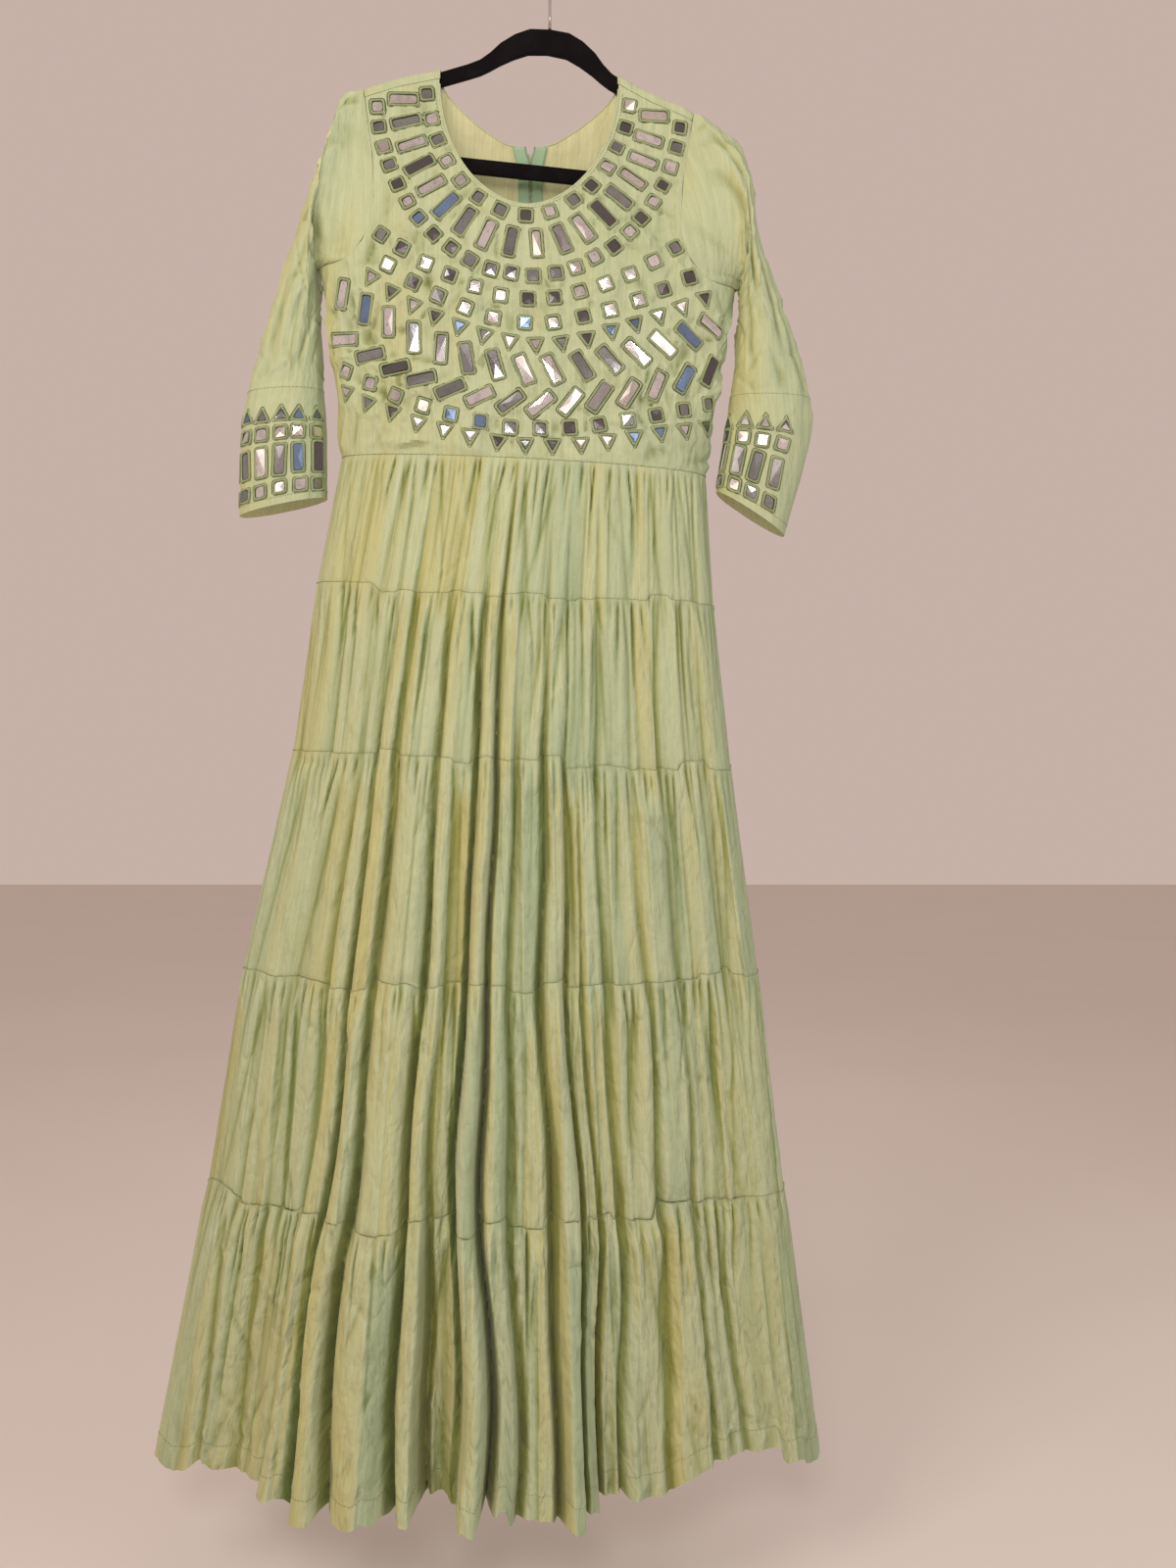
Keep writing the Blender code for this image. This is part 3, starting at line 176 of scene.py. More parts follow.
SEAMS = table("z slope left right middle front back lens skew", [
    (-0.4900, 0.0500, -0.2033, 0.1515, -0.020, 0.050, 0.045, 0.00, 0.00),
    (-0.6170, 0.0468, -0.2284, 0.1604, -0.033, 0.070, 0.050, 0.10, 0.05),
    (-0.7749, 0.0405, -0.2541, 0.1776, -0.042, 0.080, 0.060, 0.30, 0.10),
    (-0.9863, 0.0037, -0.3060, 0.2059, -0.045, 0.088, 0.070, 0.50, 0.15),
    (-1.2041, -0.0035, -0.3440, 0.2337, -0.045, 0.108, 0.085, 0.60, 0.20),
    (-1.4706, 0.0015, -0.4019, 0.2711, -0.045, 0.134, 0.100, 0.60, 0.22)])
FRONT_FOLDS = table("across valley lobe late", [
    (-1.000, 2, -16, 2.5),
    (-0.860, 12, -26, 2.2),
    (-0.635, 16, 8, 1.5),
    (-0.553, 14, 16, 1.5),
    (-0.467, 16, 18, 1.4),
    (-0.284, 20, 8, 1.2),
    (-0.215, 40, -44, 5.0),
    (-0.124, 30, 25, 1.2),
    (-0.045, 30, 6, 1.0),
    (0.039, 16, -8, 1.4),
    (0.173, 26, 10, 1.1),
    (0.260, 24, -14, 1.3),
    (0.320, 34, -24, 2.2),
    (0.400, 24, -8, 1.4),
    (0.550, 16, -2, 1.5),
    (0.677, 16, -12, 1.8),
    (0.770, 14, -16, 2.2),
    (0.900, 10, -8, 2.2)])
BACK_FOLDS = table("across valley lobe late", [
    (1.000, 2, -14, 2.5),
    (0.800, 14, 6, 1.6),
    (0.700, 12, -6, 1.5),
    (0.580, 18, 12, 1.3),
    (0.480, 14, 4, 1.4),
    (0.370, 22, 14, 1.2),
    (0.270, 18, -8, 1.5),
    (0.180, 24, 10, 1.1),
    (0.070, 16, 4, 1.3),
    (-0.030, 26, 14, 1.1),
    (-0.130, 18, -10, 1.4),
    (-0.220, 22, 12, 1.2),
    (-0.330, 14, 4, 1.4),
    (-0.430, 20, 10, 1.3),
    (-0.520, 14, -8, 1.5),
    (-0.620, 18, 8, 1.4),
    (-0.710, 12, -4, 1.6),
    (-0.810, 14, 4, 1.8)])

# The finer folds of each tier: how far apart the gathers, the pressed pleats and the wider
# folds are, their depths in millimetres, the puff under the seam, creases, and the flat cut.
TIERS = table("gather_step gather_deep pleat_step pleat_deep fold_step fold_deep puff creases "
              "crease_deep cut_width cut_length", [
    (0.0080, 3.6, 0.014, 1.7, 0.030, 2.2, 1.0, 16, 1.6, 0.93, 0.145),
    (0.0088, 3.4, 0.016, 2.2, 0.036, 3.5, 1.5, 40, 1.7, 1.12, 0.180),
    (0.0092, 3.6, 0.018, 2.6, 0.042, 4.5, 2.0, 90, 2.0, 1.40, 0.235),
    (0.0098, 4.2, 0.020, 3.0, 0.044, 5.0, 3.0, 170, 2.6, 1.75, 0.245),
    (0.0108, 5.2, 0.023, 3.2, 0.050, 5.0, 5.0, 300, 3.0, 2.15, 0.300)])
TIER_ROWS = (36, 38, 41, 41, 48)
TIER_COLUMNS = ((340, 120), (360, 130), (400, 150), (450, 170), (520, 185))  # front, back
HEM_TURN = 0.020          # height of the turned-up hem
HEM_STEP = 0.0006         # how far its edge stands out
HEM_CREASED = 0.075       # height of the crumpled band above the edge
# Painted shade: cloth this deep in a fold gets the full fold shade painted into its colour.
HOLLOW_DEEP = 0.0032      # a fold this deep is fully dark
SEAM_DEEP = 0.0003        # how far stitches pull the cloth in
LOBE_HANG = (0.0, 0.006, 0.007, 0.006, 0.009, 0.012)      # how unevenly each seam's lobes hang

# Long creases of the bodice, in the front view: from, to, half width and depth in millimetres.
FRONT_CREASES = [
    (-0.168, -0.272, -0.166, -0.372, 5, -2.6),
    (-0.159, -0.290, -0.160, -0.350, 4, 1.2),
    (-0.003, -0.272, 0.006, -0.430, 7, -1.8),
    (-0.120, -0.290, -0.100, -0.400, 8, -1.2),
    (-0.062, -0.296, -0.050, -0.352, 6, -1.4),
    (0.046, -0.296, 0.032, -0.352, 6, -1.6),
    (0.090, -0.280, 0.070, -0.372, 7, -1.3),
    (0.128, -0.262, 0.160, -0.352, 6, -1.6),
    (-0.200, -0.392, -0.120, -0.470, 6, -1.5),
    (-0.150, -0.402, -0.090, -0.482, 5, -1.2),
    (0.060, -0.440, 0.142, -0.482, 5, -1.3),
    (0.090, -0.400, 0.150, -0.470, 6, -1.4),
    (-0.196, -0.330, -0.150, -0.420, 5, -1.2),
    (-0.040, -0.440, -0.046, -0.488, 5, -1.0),
    (0.020, -0.440, 0.028, -0.488, 5, -1.0),
    (-0.178, -0.200, -0.168, -0.270, 5, -1.2),
    (0.112, -0.190, 0.128, -0.262, 5, -1.2)]
# Creases of the sleeves: round the sleeve (0 underarm, 0.25 front, 0.5 outer fold) and down it.
SLEEVE_CREASES = {
    -1: [
        (0.420, 0.02, 0.455, 0.46, 7, -5.0),
        (0.330, 0.00, 0.400, 0.30, 9, -2.2),
        (0.130, 0.10, 0.270, 0.30, 8, -6.0),
        (0.060, 0.16, 0.200, 0.36, 7, -3.0),
        (0.200, 0.30, 0.330, 0.62, 10, -1.8),
        (0.090, 0.40, 0.180, 0.80, 9, -1.6),
        (0.360, 0.50, 0.300, 0.80, 9, -1.4),
        (0.560, 0.05, 0.640, 0.60, 9, -3.0),
        (0.720, 0.10, 0.800, 0.40, 8, -3.5),
        (0.880, 0.20, 0.800, 0.60, 8, -2.0)],
    1: [
        (0.440, 0.08, 0.330, 0.66, 6, -6.0),
        (0.470, 0.10, 0.400, 0.80, 5, -4.0),
        (0.390, 0.06, 0.230, 0.50, 7, -4.5),
        (0.330, 0.02, 0.170, 0.30, 8, -3.0),
        (0.060, 0.12, 0.230, 0.26, 5, -5.0),
        (0.070, 0.20, 0.210, 0.34, 5, -4.0),
        (0.160, 0.34, 0.140, 0.66, 7, -2.5),
        (0.300, 0.70, 0.260, 0.88, 8, -1.5),
        (0.600, 0.05, 0.700, 0.60, 9, -3.5),
        (0.740, 0.10, 0.820, 0.45, 8, -3.0),
        (0.900, 0.20, 0.820, 0.60, 8, -2.0)],
}
# Long creases of the back, in the same way.
BACK_CREASES = [
    (-0.150, -0.200, -0.160, -0.420, 8, -2.0),
    (-0.090, -0.230, -0.100, -0.440, 9, -1.6),
    (-0.190, -0.400, -0.120, -0.480, 6, -1.4),
    (-0.060, -0.300, -0.050, -0.470, 8, -1.2),
    (0.080, -0.240, 0.090, -0.430, 9, -1.8),
    (0.120, -0.220, 0.130, -0.400, 7, -1.8),
    (0.040, -0.300, 0.030, -0.480, 8, -1.2),
    (0.070, -0.430, 0.140, -0.480, 6, -1.3)]

NECK_ROWS = (("square", 15, 0.0120, 0.0125), ("bar", 18, 0.0360, 0.0395), ("square", 24, 0.0610, 0.0690))
NECK_ROOM = 0.0100         # a row beside the neck ends this far from the panel's edge
NECK_MARGIN = 0.1         # and its outer motifs stand this share of a pitch from that end
# Rows that sag across the front: kind, count, the middle's level, rise at the ends, half the
# width, lean in degrees and how it swings across, and how far the row is tipped.
SAG_ROWS = [
    ("square", 13, -0.3420, 0.066, 0.150, 0, 0, 0.00),
    ("square", 13, -0.3640, 0.069, 0.166, 0, 0, 0.10),
    ("triangle", 16, -0.3842, 0.072, 0.180, 0, 0, 0.13),
    ("bar", 15, -0.4080, 0.070, 0.190, 24, 12, 0.10),
    ("bar", 14, -0.4398, 0.058, 0.190, -52, 10, 0.10),
    ("square", 14, -0.4628, 0.051, 0.190, 0, 0, 0.15),
    ("triangle", 15, -0.4787, 0.044, 0.190, 0, 0, 0.18)]
CUFF_ROWS = (("triangle_up", 0.0865), ("square", 0.0685), ("bar", 0.0425), ("square", 0.0155))
CUFF_COLUMNS = 7
CUFF_STEP = 0.0190
CUFF_SHIFT = {-1: 0.0, 1: -0.060}      # how far a cuff's mirrors are moved round it
MOTIFS = {
    "square": [(-0.0067, -0.0067), (0.0067, -0.0067), (0.0067, 0.0067), (-0.0067, 0.0067)],
    "bar": [(-0.0063, -0.0137), (0.0063, -0.0137), (0.0063, 0.0137), (-0.0063, 0.0137)],
    "triangle": [(0.0, -0.0090), (0.0086, 0.0070), (-0.0086, 0.0070)],
    "triangle_up": [(-0.0086, -0.0070), (0.0086, -0.0070), (0.0, 0.0085)],
}
PAD_HEIGHT = 0.0011       # how far a mirror's padding lifts the cloth
PAD_EASE = 0.0030         # the cloth is level under a mirror and eases off over this width
NET_STEP = 0.0028         # between the points of the front panel's mesh
MIRROR_GROW = 1.14        # a mirror with its border against the solids' motif
GLASS_INSET = 0.0028      # from a motif's outline to its glass
CORD_INSET = 0.0015       # from a motif's outline to the middle of its border
GLASS_LIFT = 0.0002       # the glass stands this far clear of the cloth
GLASS_DEEP = 0.0016       # from its front to its back
GLASS_DOME = 0.00015      # how far its middle bulges
CORNER_ROUND = 0.0022     # rounding of a border's corners
GLASS_ROUND = 0.0010      # rounding of the glass's corners
NECK_STITCHED = 0.0040    # from the neck's edge to its stitches
# Reflections painted into the mirrors' colour: dark room, pale wall, window blue, lamp. Share, colour.
PAINTED_MIRROR_REFLECTIONS = ((0.16, (0.16, 0.155, 0.16)),
                (0.52, (0.36, 0.385, 0.395)),
                (0.63, (0.80, 0.79, 0.74)),
                (0.93, (1.00, 1.00, 1.00)),
                (1.00, (0.23, 0.37, 0.62)))


# ---------------------------------------------------------------- small maths

def unit(vectors):
    length = np.linalg.norm(vectors, axis=-1, keepdims=True)
    return vectors / np.maximum(length, 1e-12)


def smooth(share):
    share = np.clip(share, 0, 1)
    return share * share * (3 - 2 * share)


def sharp_valley(distance):
    """1 at a fold's line, falling to 0 a width or two away, with a crisp bottom."""
    return np.exp(-1.3 * np.abs(distance) ** 1.35)


def soft_valley(distance):
    return np.exp(-distance ** 2)


def summed(steps):
    """Running total of steps, from 0."""
    return np.concatenate([[0], np.cumsum(steps)])


def spread(*parts):
    """A grid of points, from parts that change across it, down it or nowhere."""
    return np.stack(np.broadcast_arrays(*parts), axis=-1)


def paired(first, second):
    """Two lists of numbers as a list of pairs."""
    return np.stack([first, second], axis=1)


def run_of(points):
    """Distance along a line of points."""
    return summed(np.linalg.norm(np.diff(points, axis=0), axis=1))


def grid_faces(rows, columns, closed=False):
    r, c = np.meshgrid(np.arange(rows - 1), np.arange(columns if closed else columns - 1), indexing="ij")
    n = (c + 1) % columns
    quads = [r * columns + c, r * columns + n, (r + 1) * columns + n, (r + 1) * columns + c]
    return np.stack(quads, axis=-1).reshape(-1, 4)


def refined(grid, per_row, per_column, closed):
    """A finer grid through the same points, curved by Catmull and Rom's rule."""
    def along_first(points, per, wraps):
        ends = ((points[-1:], points[:2]) if wraps
                else (2 * points[:1] - points[1:2], 2 * points[-1:] - points[-2:-1]))
        padded = np.concatenate([ends[0], points, ends[1]])
        stops = len(points) - (not wraps)
        at = np.arange(stops * per + (not wraps)) / per
        here = np.minimum(at.astype(int), stops - 1)
        share = (at - here).reshape((-1,) + (1,) * (points.ndim - 1))
        p = [padded[here + k] for k in range(4)]
        return (p[1] + share * (p[2] - p[0]) / 2
                + share ** 2 * (p[0] - 2.5 * p[1] + 2 * p[2] - 0.5 * p[3])
                + share ** 3 * (1.5 * (p[1] - p[2]) + (p[3] - p[0]) / 2))

    grid = along_first(grid, per_row, False)
    return np.swapaxes(along_first(np.swapaxes(grid, 0, 1), per_column, closed), 0, 1)


def grid_normals(points, closed, sign):
    around = (np.roll(points, -1, axis=1) - np.roll(points, 1, axis=1) if closed
              else np.gradient(points, axis=1))
    return unit(np.cross(np.gradient(points, axis=0), around)) * sign


def creased(across, down, creases, scale=(1, 1)):
    """Depth, in metres, of a list of long creases at points given across and down."""
    total = np.zeros(np.broadcast(across, down).shape)
    for x0, z0, x1, z1, width, depth in creases:
        start = np.array([x0 * scale[0], z0 * scale[1]])
        run = np.array([x1 * scale[0], z1 * scale[1]]) - start
        length = np.linalg.norm(run)
        du, dv = across - start[0], down - start[1]
        along = (du * run[0] + dv * run[1]) / length ** 2
        aside = (du * run[1] - dv * run[0]) / length
        ends = smooth((along + 0.12) / 0.35) * smooth((1.12 - along) / 0.35)
        total += depth / 1000 * sharp_valley(aside / (width / 1000)) * ends
    return total


def crumpled(across, down, count, size, seed, deep):
    """Short creases in many directions, mostly upright, over an area of that size."""
    dice = np.random.default_rng(seed)
    total = np.zeros(np.broadcast(across, down).shape)
    for _ in range(count):
        u0, v0 = dice.uniform(0, size[0]), dice.uniform(0, size[1])
        angle = dice.normal(0, 0.45) if dice.random() < 0.8 else math.pi / 2 + dice.normal(0, 0.3)
        length, width = dice.uniform(0.008, 0.035), dice.uniform(0.0018, 0.0042)
        depth = deep * dice.uniform(0.4, 1.2) * dice.choice([-1, 1])
        du, dv = across - u0, down - v0
        along = (dv * math.cos(angle) + du * math.sin(angle)) / length
        aside = (du * math.cos(angle) - dv * math.sin(angle)) / width
        near = (np.abs(along) < 2.2) & (np.abs(aside) < 3)
        total = total + np.where(near, depth * soft_valley(along) * sharp_valley(aside), 0)
    return total


# ---------------------------------------------------------------- meshes

def keep(made, body="gown", nodes=()):
    """Every piece rides on its body and may stand for CAD nodes, which it hides."""
    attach(made, body)
    if nodes:
        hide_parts(*nodes)
    return made


def linked(name, data):
    made = bpy.data.objects.new(name, data)
    bpy.context.collection.objects.link(made)
    return made


def mesh_object(name, points, faces, finish, marks=None, uv=None, smooth_shade=True):
    """A mesh object at the origin. marks are attributes of its points, uv its flat places."""
    mesh = bpy.data.meshes.new(name)
    mesh.from_pydata(np.asarray(points, float).tolist(), [], [list(map(int, face)) for face in faces])
    for mark, values in (marks or {}).items():
        plain = np.ndim(values) == 1
        layer = mesh.attributes.new(mark, "FLOAT" if plain else "FLOAT_VECTOR", "POINT")
        layer.data.foreach_set("value" if plain else "vector", np.asarray(values, np.float32).ravel())
    if uv is not None:
        corners = np.zeros(len(mesh.loops), np.int32)
        mesh.loops.foreach_get("vertex_index", corners)
        layer = mesh.uv_layers.new(name="cloth")
        layer.uv.foreach_set("vector", np.asarray(uv, np.float32)[corners].ravel())
    if smooth_shade:
        mesh.shade_smooth()
    mesh.materials.append(finish)
    return linked(name, mesh)


def applied(made):
    """The object with its modifiers worked into its mesh."""
    seen = made.evaluated_get(bpy.context.evaluated_depsgraph_get())
    mesh = bpy.data.meshes.new_from_object(seen)
    made.modifiers.clear()
    made.data = mesh
    return made


def mesh_parts(mesh):
    """Points and faces of a mesh."""
    points = np.zeros(len(mesh.vertices) * 3, np.float32)
    mesh.vertices.foreach_get("co", points)
    return points.reshape(-1, 3), [tuple(face.vertices) for face in mesh.polygons]


def turned_out(made):
    """A closed piece with points that coincide merged and its faces turned outwards."""
    work = bmesh.new()
    work.from_mesh(made.data)
    bmesh.ops.remove_doubles(work, verts=work.verts, dist=1e-6)
    bmesh.ops.recalc_face_normals(work, faces=work.faces)
    work.to_mesh(made.data)
    work.free()
    return made


def thickened(made, thickness, inner=None):
    """Gives a sheet its thickness inwards, and its inner side a finish of its own."""
    wall = made.modifiers.new("thickness", "SOLIDIFY")
    wall.thickness, wall.offset = thickness, -1
    if inner:
        made.data.materials.append(inner)
        wall.material_offset = 1
    return applied(made)


def cloth_shell(name, points, faces, marks, uv, node):
    """A piece of cloth with its thickness, which stands for a CAD node."""
    made = mesh_object(name, points, faces, finish("cloth"), marks, uv)
    thickened(made, bpy.context.scene.gown_cloth.thickness, finish("inside"))
    made.data.set_sharp_from_angle(angle=math.radians(50))
    return keep(made, nodes=[node])


def cloth_marks(displaced, normals, closed):
    """Attributes of a grid of cloth: how it leans to one side and how deep it lies in a fold, which set its
    painted light and shade.
    """
    reach = 9
    pad = (np.concatenate([displaced[:, -reach:], displaced, displaced[:, :reach]], axis=1)
           if closed else np.pad(displaced, ((0, 0), (reach, reach)), mode="edge"))
    total = np.cumsum(np.pad(pad, ((0, 0), (1, 0))), axis=1)
    blurred = (total[:, 2 * reach + 1:] - total[:, :-2 * reach - 1]) / (2 * reach + 1)
    hollow = np.clip((blurred - displaced) / HOLLOW_DEEP, -1, 1)
    return {"lean": normals[..., 0].ravel(), "hollow": hollow.ravel()}


# ---------------------------------------------------------------- bodice surface

def turned(out, height):
    sine, cosine = math.sin(HANGER_TILT), math.cos(HANGER_TILT)
    return out * cosine + height * sine, HANGER_TOP - out * sine + height * cosine


def ridge(x):
    """Height of the cloth's fold over the hanger's arms."""
    out = np.concatenate([-ARM["out"][::-1], ARM["out"][1:]])
    drop = np.concatenate([ARM["drop"][::-1], ARM["drop"][1:]])
    held = np.abs(out) > 0.05
    line_x, line_z = turned(out[held], -drop[held])
    return np.interp(x, line_x, line_z) + CLOTH_SOLID + HANGER_CLEAR


def level_of(x, z):
    return z + BODICE_SLOPE * (x - GOWN_X)


def bodice_at(level, column):
    return np.interp(-np.asarray(level), -BODICE["z"], BODICE[column])


def bodice_depth(x, z, level, turn, side):
    """Distance from the hanger's plane: a round fold on the ridge, then a gentle opening."""
    full = bodice_at(level, "front" if side == FRONT else "back")
    drop = np.maximum(ridge(x) - z, 0)
    fold = HANGER_THICK / 2 + CLOTH_SOLID + HANGER_CLEAR
    rolled = np.sqrt(np.maximum(fold ** 2 - np.maximum(fold - drop, 0) ** 2, 0))
    opened = (full - fold) * smooth((drop - fold) / DRAPE_DROP)
    reach = np.maximum(np.cos(turn), 0)
    return rolled * reach ** 0.3 + opened * reach ** SIDE_ROUND


def on_bodice(lateral, level, side):
    """A point of the outer face. Lateral runs from -1 at the left edge to 1 at the right."""
    lateral, level = np.asarray(lateral, float), np.asarray(level, float)
    turn = lateral * math.pi / 2
    left, right = bodice_at(level, "left"), bodice_at(level, "right")
    x = GOWN_X + np.where(lateral < 0, GOWN_X - left, right - GOWN_X) * np.sin(turn)
    z = level - BODICE_SLOPE * (x - GOWN_X)
    depth = bodice_depth(x, z, level, turn, side)
    return np.stack([x, side * (GAP / 2 + depth), z], axis=-1)


def bodice_normal(lateral, level, side):
    step = 1e-3
    lateral = np.asarray(lateral, float)
    low, high = np.clip(lateral - step, -1, 1), np.clip(lateral + step, -1, 1)
    across = on_bodice(high, level, side) - on_bodice(low, level, side)
    down = on_bodice(lateral, level - step, side) - on_bodice(lateral, level + step, side)
    return unit(np.cross(down, across)) * -side


def flat_from(x, z):
    """Lateral and level of a point of the front view."""
    level = level_of(x, z)
    left, right = bodice_at(level, "left"), bodice_at(level, "right")
    share = (x - GOWN_X) / np.where(x < GOWN_X, GOWN_X - left, right - GOWN_X)
    return np.arcsin(np.clip(share, -1, 1)) / (math.pi / 2), level


def across_table(level, side):
    """Distance across the cloth at evenly spaced laterals, for one level."""
    lateral = np.linspace(-1, 1, 81)
    run = run_of(on_bodice(lateral, np.full(81, level), side))
    return lateral, run - np.interp(0, lateral, run)


def to_lateral(across, level, side):
    lateral, run = across_table(level, side)
    return float(np.interp(across, run, lateral))


def to_across(lateral, level, side):
    grid, run = across_table(level, side)
    return float(np.interp(lateral, grid, run))


def armhole_line(side_x, ups):
    """Front view of the armhole, underarm (0) to ridge (1), the same for front and back."""
    low = np.array(UNDERARM[side_x])
    high = np.array([SHOULDER_OUT[side_x], float(ridge(SHOULDER_OUT[side_x]))])
    chord = high - low
    inward = unit(np.array([chord[1], -chord[0]])) * -side_x
    bulge = np.interp(ups, ARMHOLE["up"], ARMHOLE["inward"])
    return low + np.outer(ups, chord) + np.outer(bulge, inward)


def up_of_drop(side_x, drop):
    line = armhole_line(side_x, np.array([0.9, 1.0]))
    return 1 - 0.1 * drop / (line[1, 1] - line[0, 1])


def on_front_view(x, z, side):
    laterals, levels = flat_from(x, z)
    return on_bodice(laterals, levels, side), bodice_normal(laterals, levels, side)


def neck_curve(count, bottom, power, drop):
    """Front view of a neckline from the left neck point down and up to the right one."""
    left, right = GOWN_X - NECK_HALF, GOWN_X + NECK_HALF
    turn = np.linspace(math.pi, 0, count)
    x = GOWN_X + NECK_HALF * np.sign(np.cos(turn)) * np.abs(np.cos(turn)) ** (2 / power)
    start = np.interp(x, [left, right], [ridge(left) - drop, ridge(right) - drop])
    z = start + (bottom - start) * np.sin(turn) ** (2 / power)
    return paired(x, z)


def inside_polygon(points, polygon):
    points, polygon = np.asarray(points), np.asarray(polygon)
    inside = np.zeros(len(points), bool)
    for (x1, y1), (x2, y2) in zip(polygon, np.roll(polygon, -1, axis=0)):
        crosses = (y1 > points[:, 1]) != (y2 > points[:, 1])
        with np.errstate(divide="ignore", invalid="ignore"):
            at = x1 + (points[:, 1] - y1) * (x2 - x1) / (y2 - y1)
        inside ^= crosses & (points[:, 0] < at)
    return inside


def edge_distance(points, polygon):
    """Distance from each point to a polygon's edges."""
    points, polygon = np.asarray(points, float), np.asarray(polygon)
    nearest = np.full(len(points), 1e9)
    for start, end in zip(polygon, np.roll(polygon, -1, axis=0)):
        run = end - start
        share = np.clip((points - start) @ run / max(run @ run, 1e-12), 0, 1)
        away = points - start - share[:, None] * run
        nearest = np.minimum(nearest, np.linalg.norm(away, axis=1))
    return nearest


# ---------------------------------------------------------------- mirror places

def placed(kind, centre, angle):
    """A motif's corners about a centre, turned by an angle."""
    c, s = math.cos(angle), math.sin(angle)
    return np.asarray(centre) + np.array(MOTIFS[kind]) @ np.array([[c, s], [-s, c]])


def spaced(path, count, margin=0.5):
    """Evenly spaced places along a path, with the direction of the path at each."""
    run = run_of(path)
    at = (np.arange(count) + margin) / (count - 1 + 2 * margin) * run[-1]
    centres, ahead, behind = (np.stack([np.interp(at + by, run, path[:, k]) for k in (0, 1)],
                                       axis=1) for by in (0, 2e-3, -2e-3))
    step = ahead - behind
    return centres, np.arctan2(step[:, 1], step[:, 0])


def front_outline(count):
    """Edge of the front panel as laterals and levels, anticlockwise."""
    seam = SHOULDER_SEAM + GAP / 2
    waist = SEAMS["z"][0] + GAP / 2
    parts = [paired(np.linspace(-1, 1, 2 * count), np.full(2 * count, waist))]
    for side_x in (1, -1):
        stops = np.append(ARM_UPS, up_of_drop(side_x, seam))
        ups = np.interp(np.linspace(0, len(stops) - 1, count), np.arange(len(stops)), stops)
        arm = armhole_line(side_x, ups)
        levels = np.linspace(waist, level_of(*arm[0]), count)[1:-1]
        side = paired(np.full(len(levels), float(side_x)), levels)
        neck = neck_curve(2 * count + 1, NECK_FRONT_Z, NECK_ROUND, seam)
        x = np.linspace(arm[-1, 0], neck[-1 if side_x > 0 else 0, 0], count // 2)[1:-1]
        shoulder = paired(x, ridge(x) - seam)
        arm, shoulder, neck = (np.stack(flat_from(*p.T), axis=1) for p in (arm, shoulder, neck))
        parts += ([side, arm, shoulder, neck[::-1]] if side_x > 0
                  else [shoulder[::-1], arm[::-1], side[::-1]])
    return np.vstack(parts)


def front_mirrors():
    """Kinds, centres and angles of the mirrors that fit on the flat front panel."""
    outline = np.array([(to_across(a, b, FRONT), b) for a, b in front_outline(24)])
    found = []
    neck = np.array([(to_across(*flat_from(x, z), FRONT), level_of(x, z))
                     for x, z in neck_curve(41, NECK_FRONT_Z, NECK_ROUND, SHOULDER_SEAM)])
    step = np.gradient(neck, axis=0)
    outward = unit(paired(step[:, 1], -step[:, 0]))
    outward[0], outward[-1] = (-1, 0), (1, 0)
    bulge = np.sin(np.linspace(0, math.pi, len(neck)))
    fine = np.linspace(0, len(neck) - 1, 321)
    for kind, count, near, far in NECK_ROWS:
        path = neck + outward * (near + (far - near) * bulge)[:, None]
        path = np.stack([np.interp(fine, range(len(path)), p) for p in path.T], axis=1)
        room = inside_polygon(path, outline) & (edge_distance(path, outline) > NECK_ROOM)
        centres, angles = spaced(path[room], count, NECK_MARGIN)
        found += [(kind, c, a) for c, a in zip(centres, angles)]
    share = np.linspace(-1, 1, 41)
    for kind, count, middle, high, half, lean, swing, tip in SAG_ROWS:
        rise = high * (1 - tip * share) * np.abs(share) ** SAG_POWER
        centres, angles = spaced(paired(share * half, middle + rise), count)
        leans = np.radians(lean + swing * centres[:, 0] / half)
        found += [(kind, c, a) for c, a in zip(centres, angles * SAG_TURN + leans)]
    kept = []
    for motif in found:
        corners = placed(*motif)
        clear = (inside_polygon(corners, outline).all()
                 and edge_distance(corners, outline).min() > MOTIF_INSIDE)
        for other in kept:
            if clear and np.linalg.norm(other[1] - motif[1]) <= MOTIF_REACH:
                near = placed(*other)
                apart = min(edge_distance(corners, near).min(), edge_distance(near, corners).min())
                within = inside_polygon(corners, near).any() or inside_polygon(near, corners).any()
                clear = apart > MOTIF_APART and not within
        if clear:
            kept.append(motif)
    return kept


# ---------------------------------------------------------------- bodice pieces

def beside(motif, across, level):
    """Places measured from a motif's centre along its own axes, and its half width and height."""
    kind, centre, angle = motif
    c, s = math.cos(angle), math.sin(angle)
    du, dv = across - centre[0], level - centre[1]
    return du * c + dv * s, dv * c - du * s, np.abs(np.array(MOTIFS[kind])).max(axis=0)


def front_relief(across, level, motifs):
    """How far the cloth stands out over the padding under each mirror."""
    pads = np.zeros(len(across))
    for motif in motifs:
        u, v, half = beside(motif, across, level)
        pads = np.maximum(pads, smooth(2.6 - np.hypot(u / half[0], v / half[1]) * 1.25))
    return pads * PAD_HEIGHT


def settled(relief, across, level, motifs):
    """The relief made level under each mirror, which holds its cloth flat."""
    for motif in motifs:
        u, v, half = beside(motif, across, level)
        half = half * MIRROR_GROW
        out = np.maximum(np.abs(u) - half[0], np.abs(v) - half[1])
        relief = relief + smooth(1 - out / PAD_EASE) * (relief[out < 0].mean() - relief)
    return relief


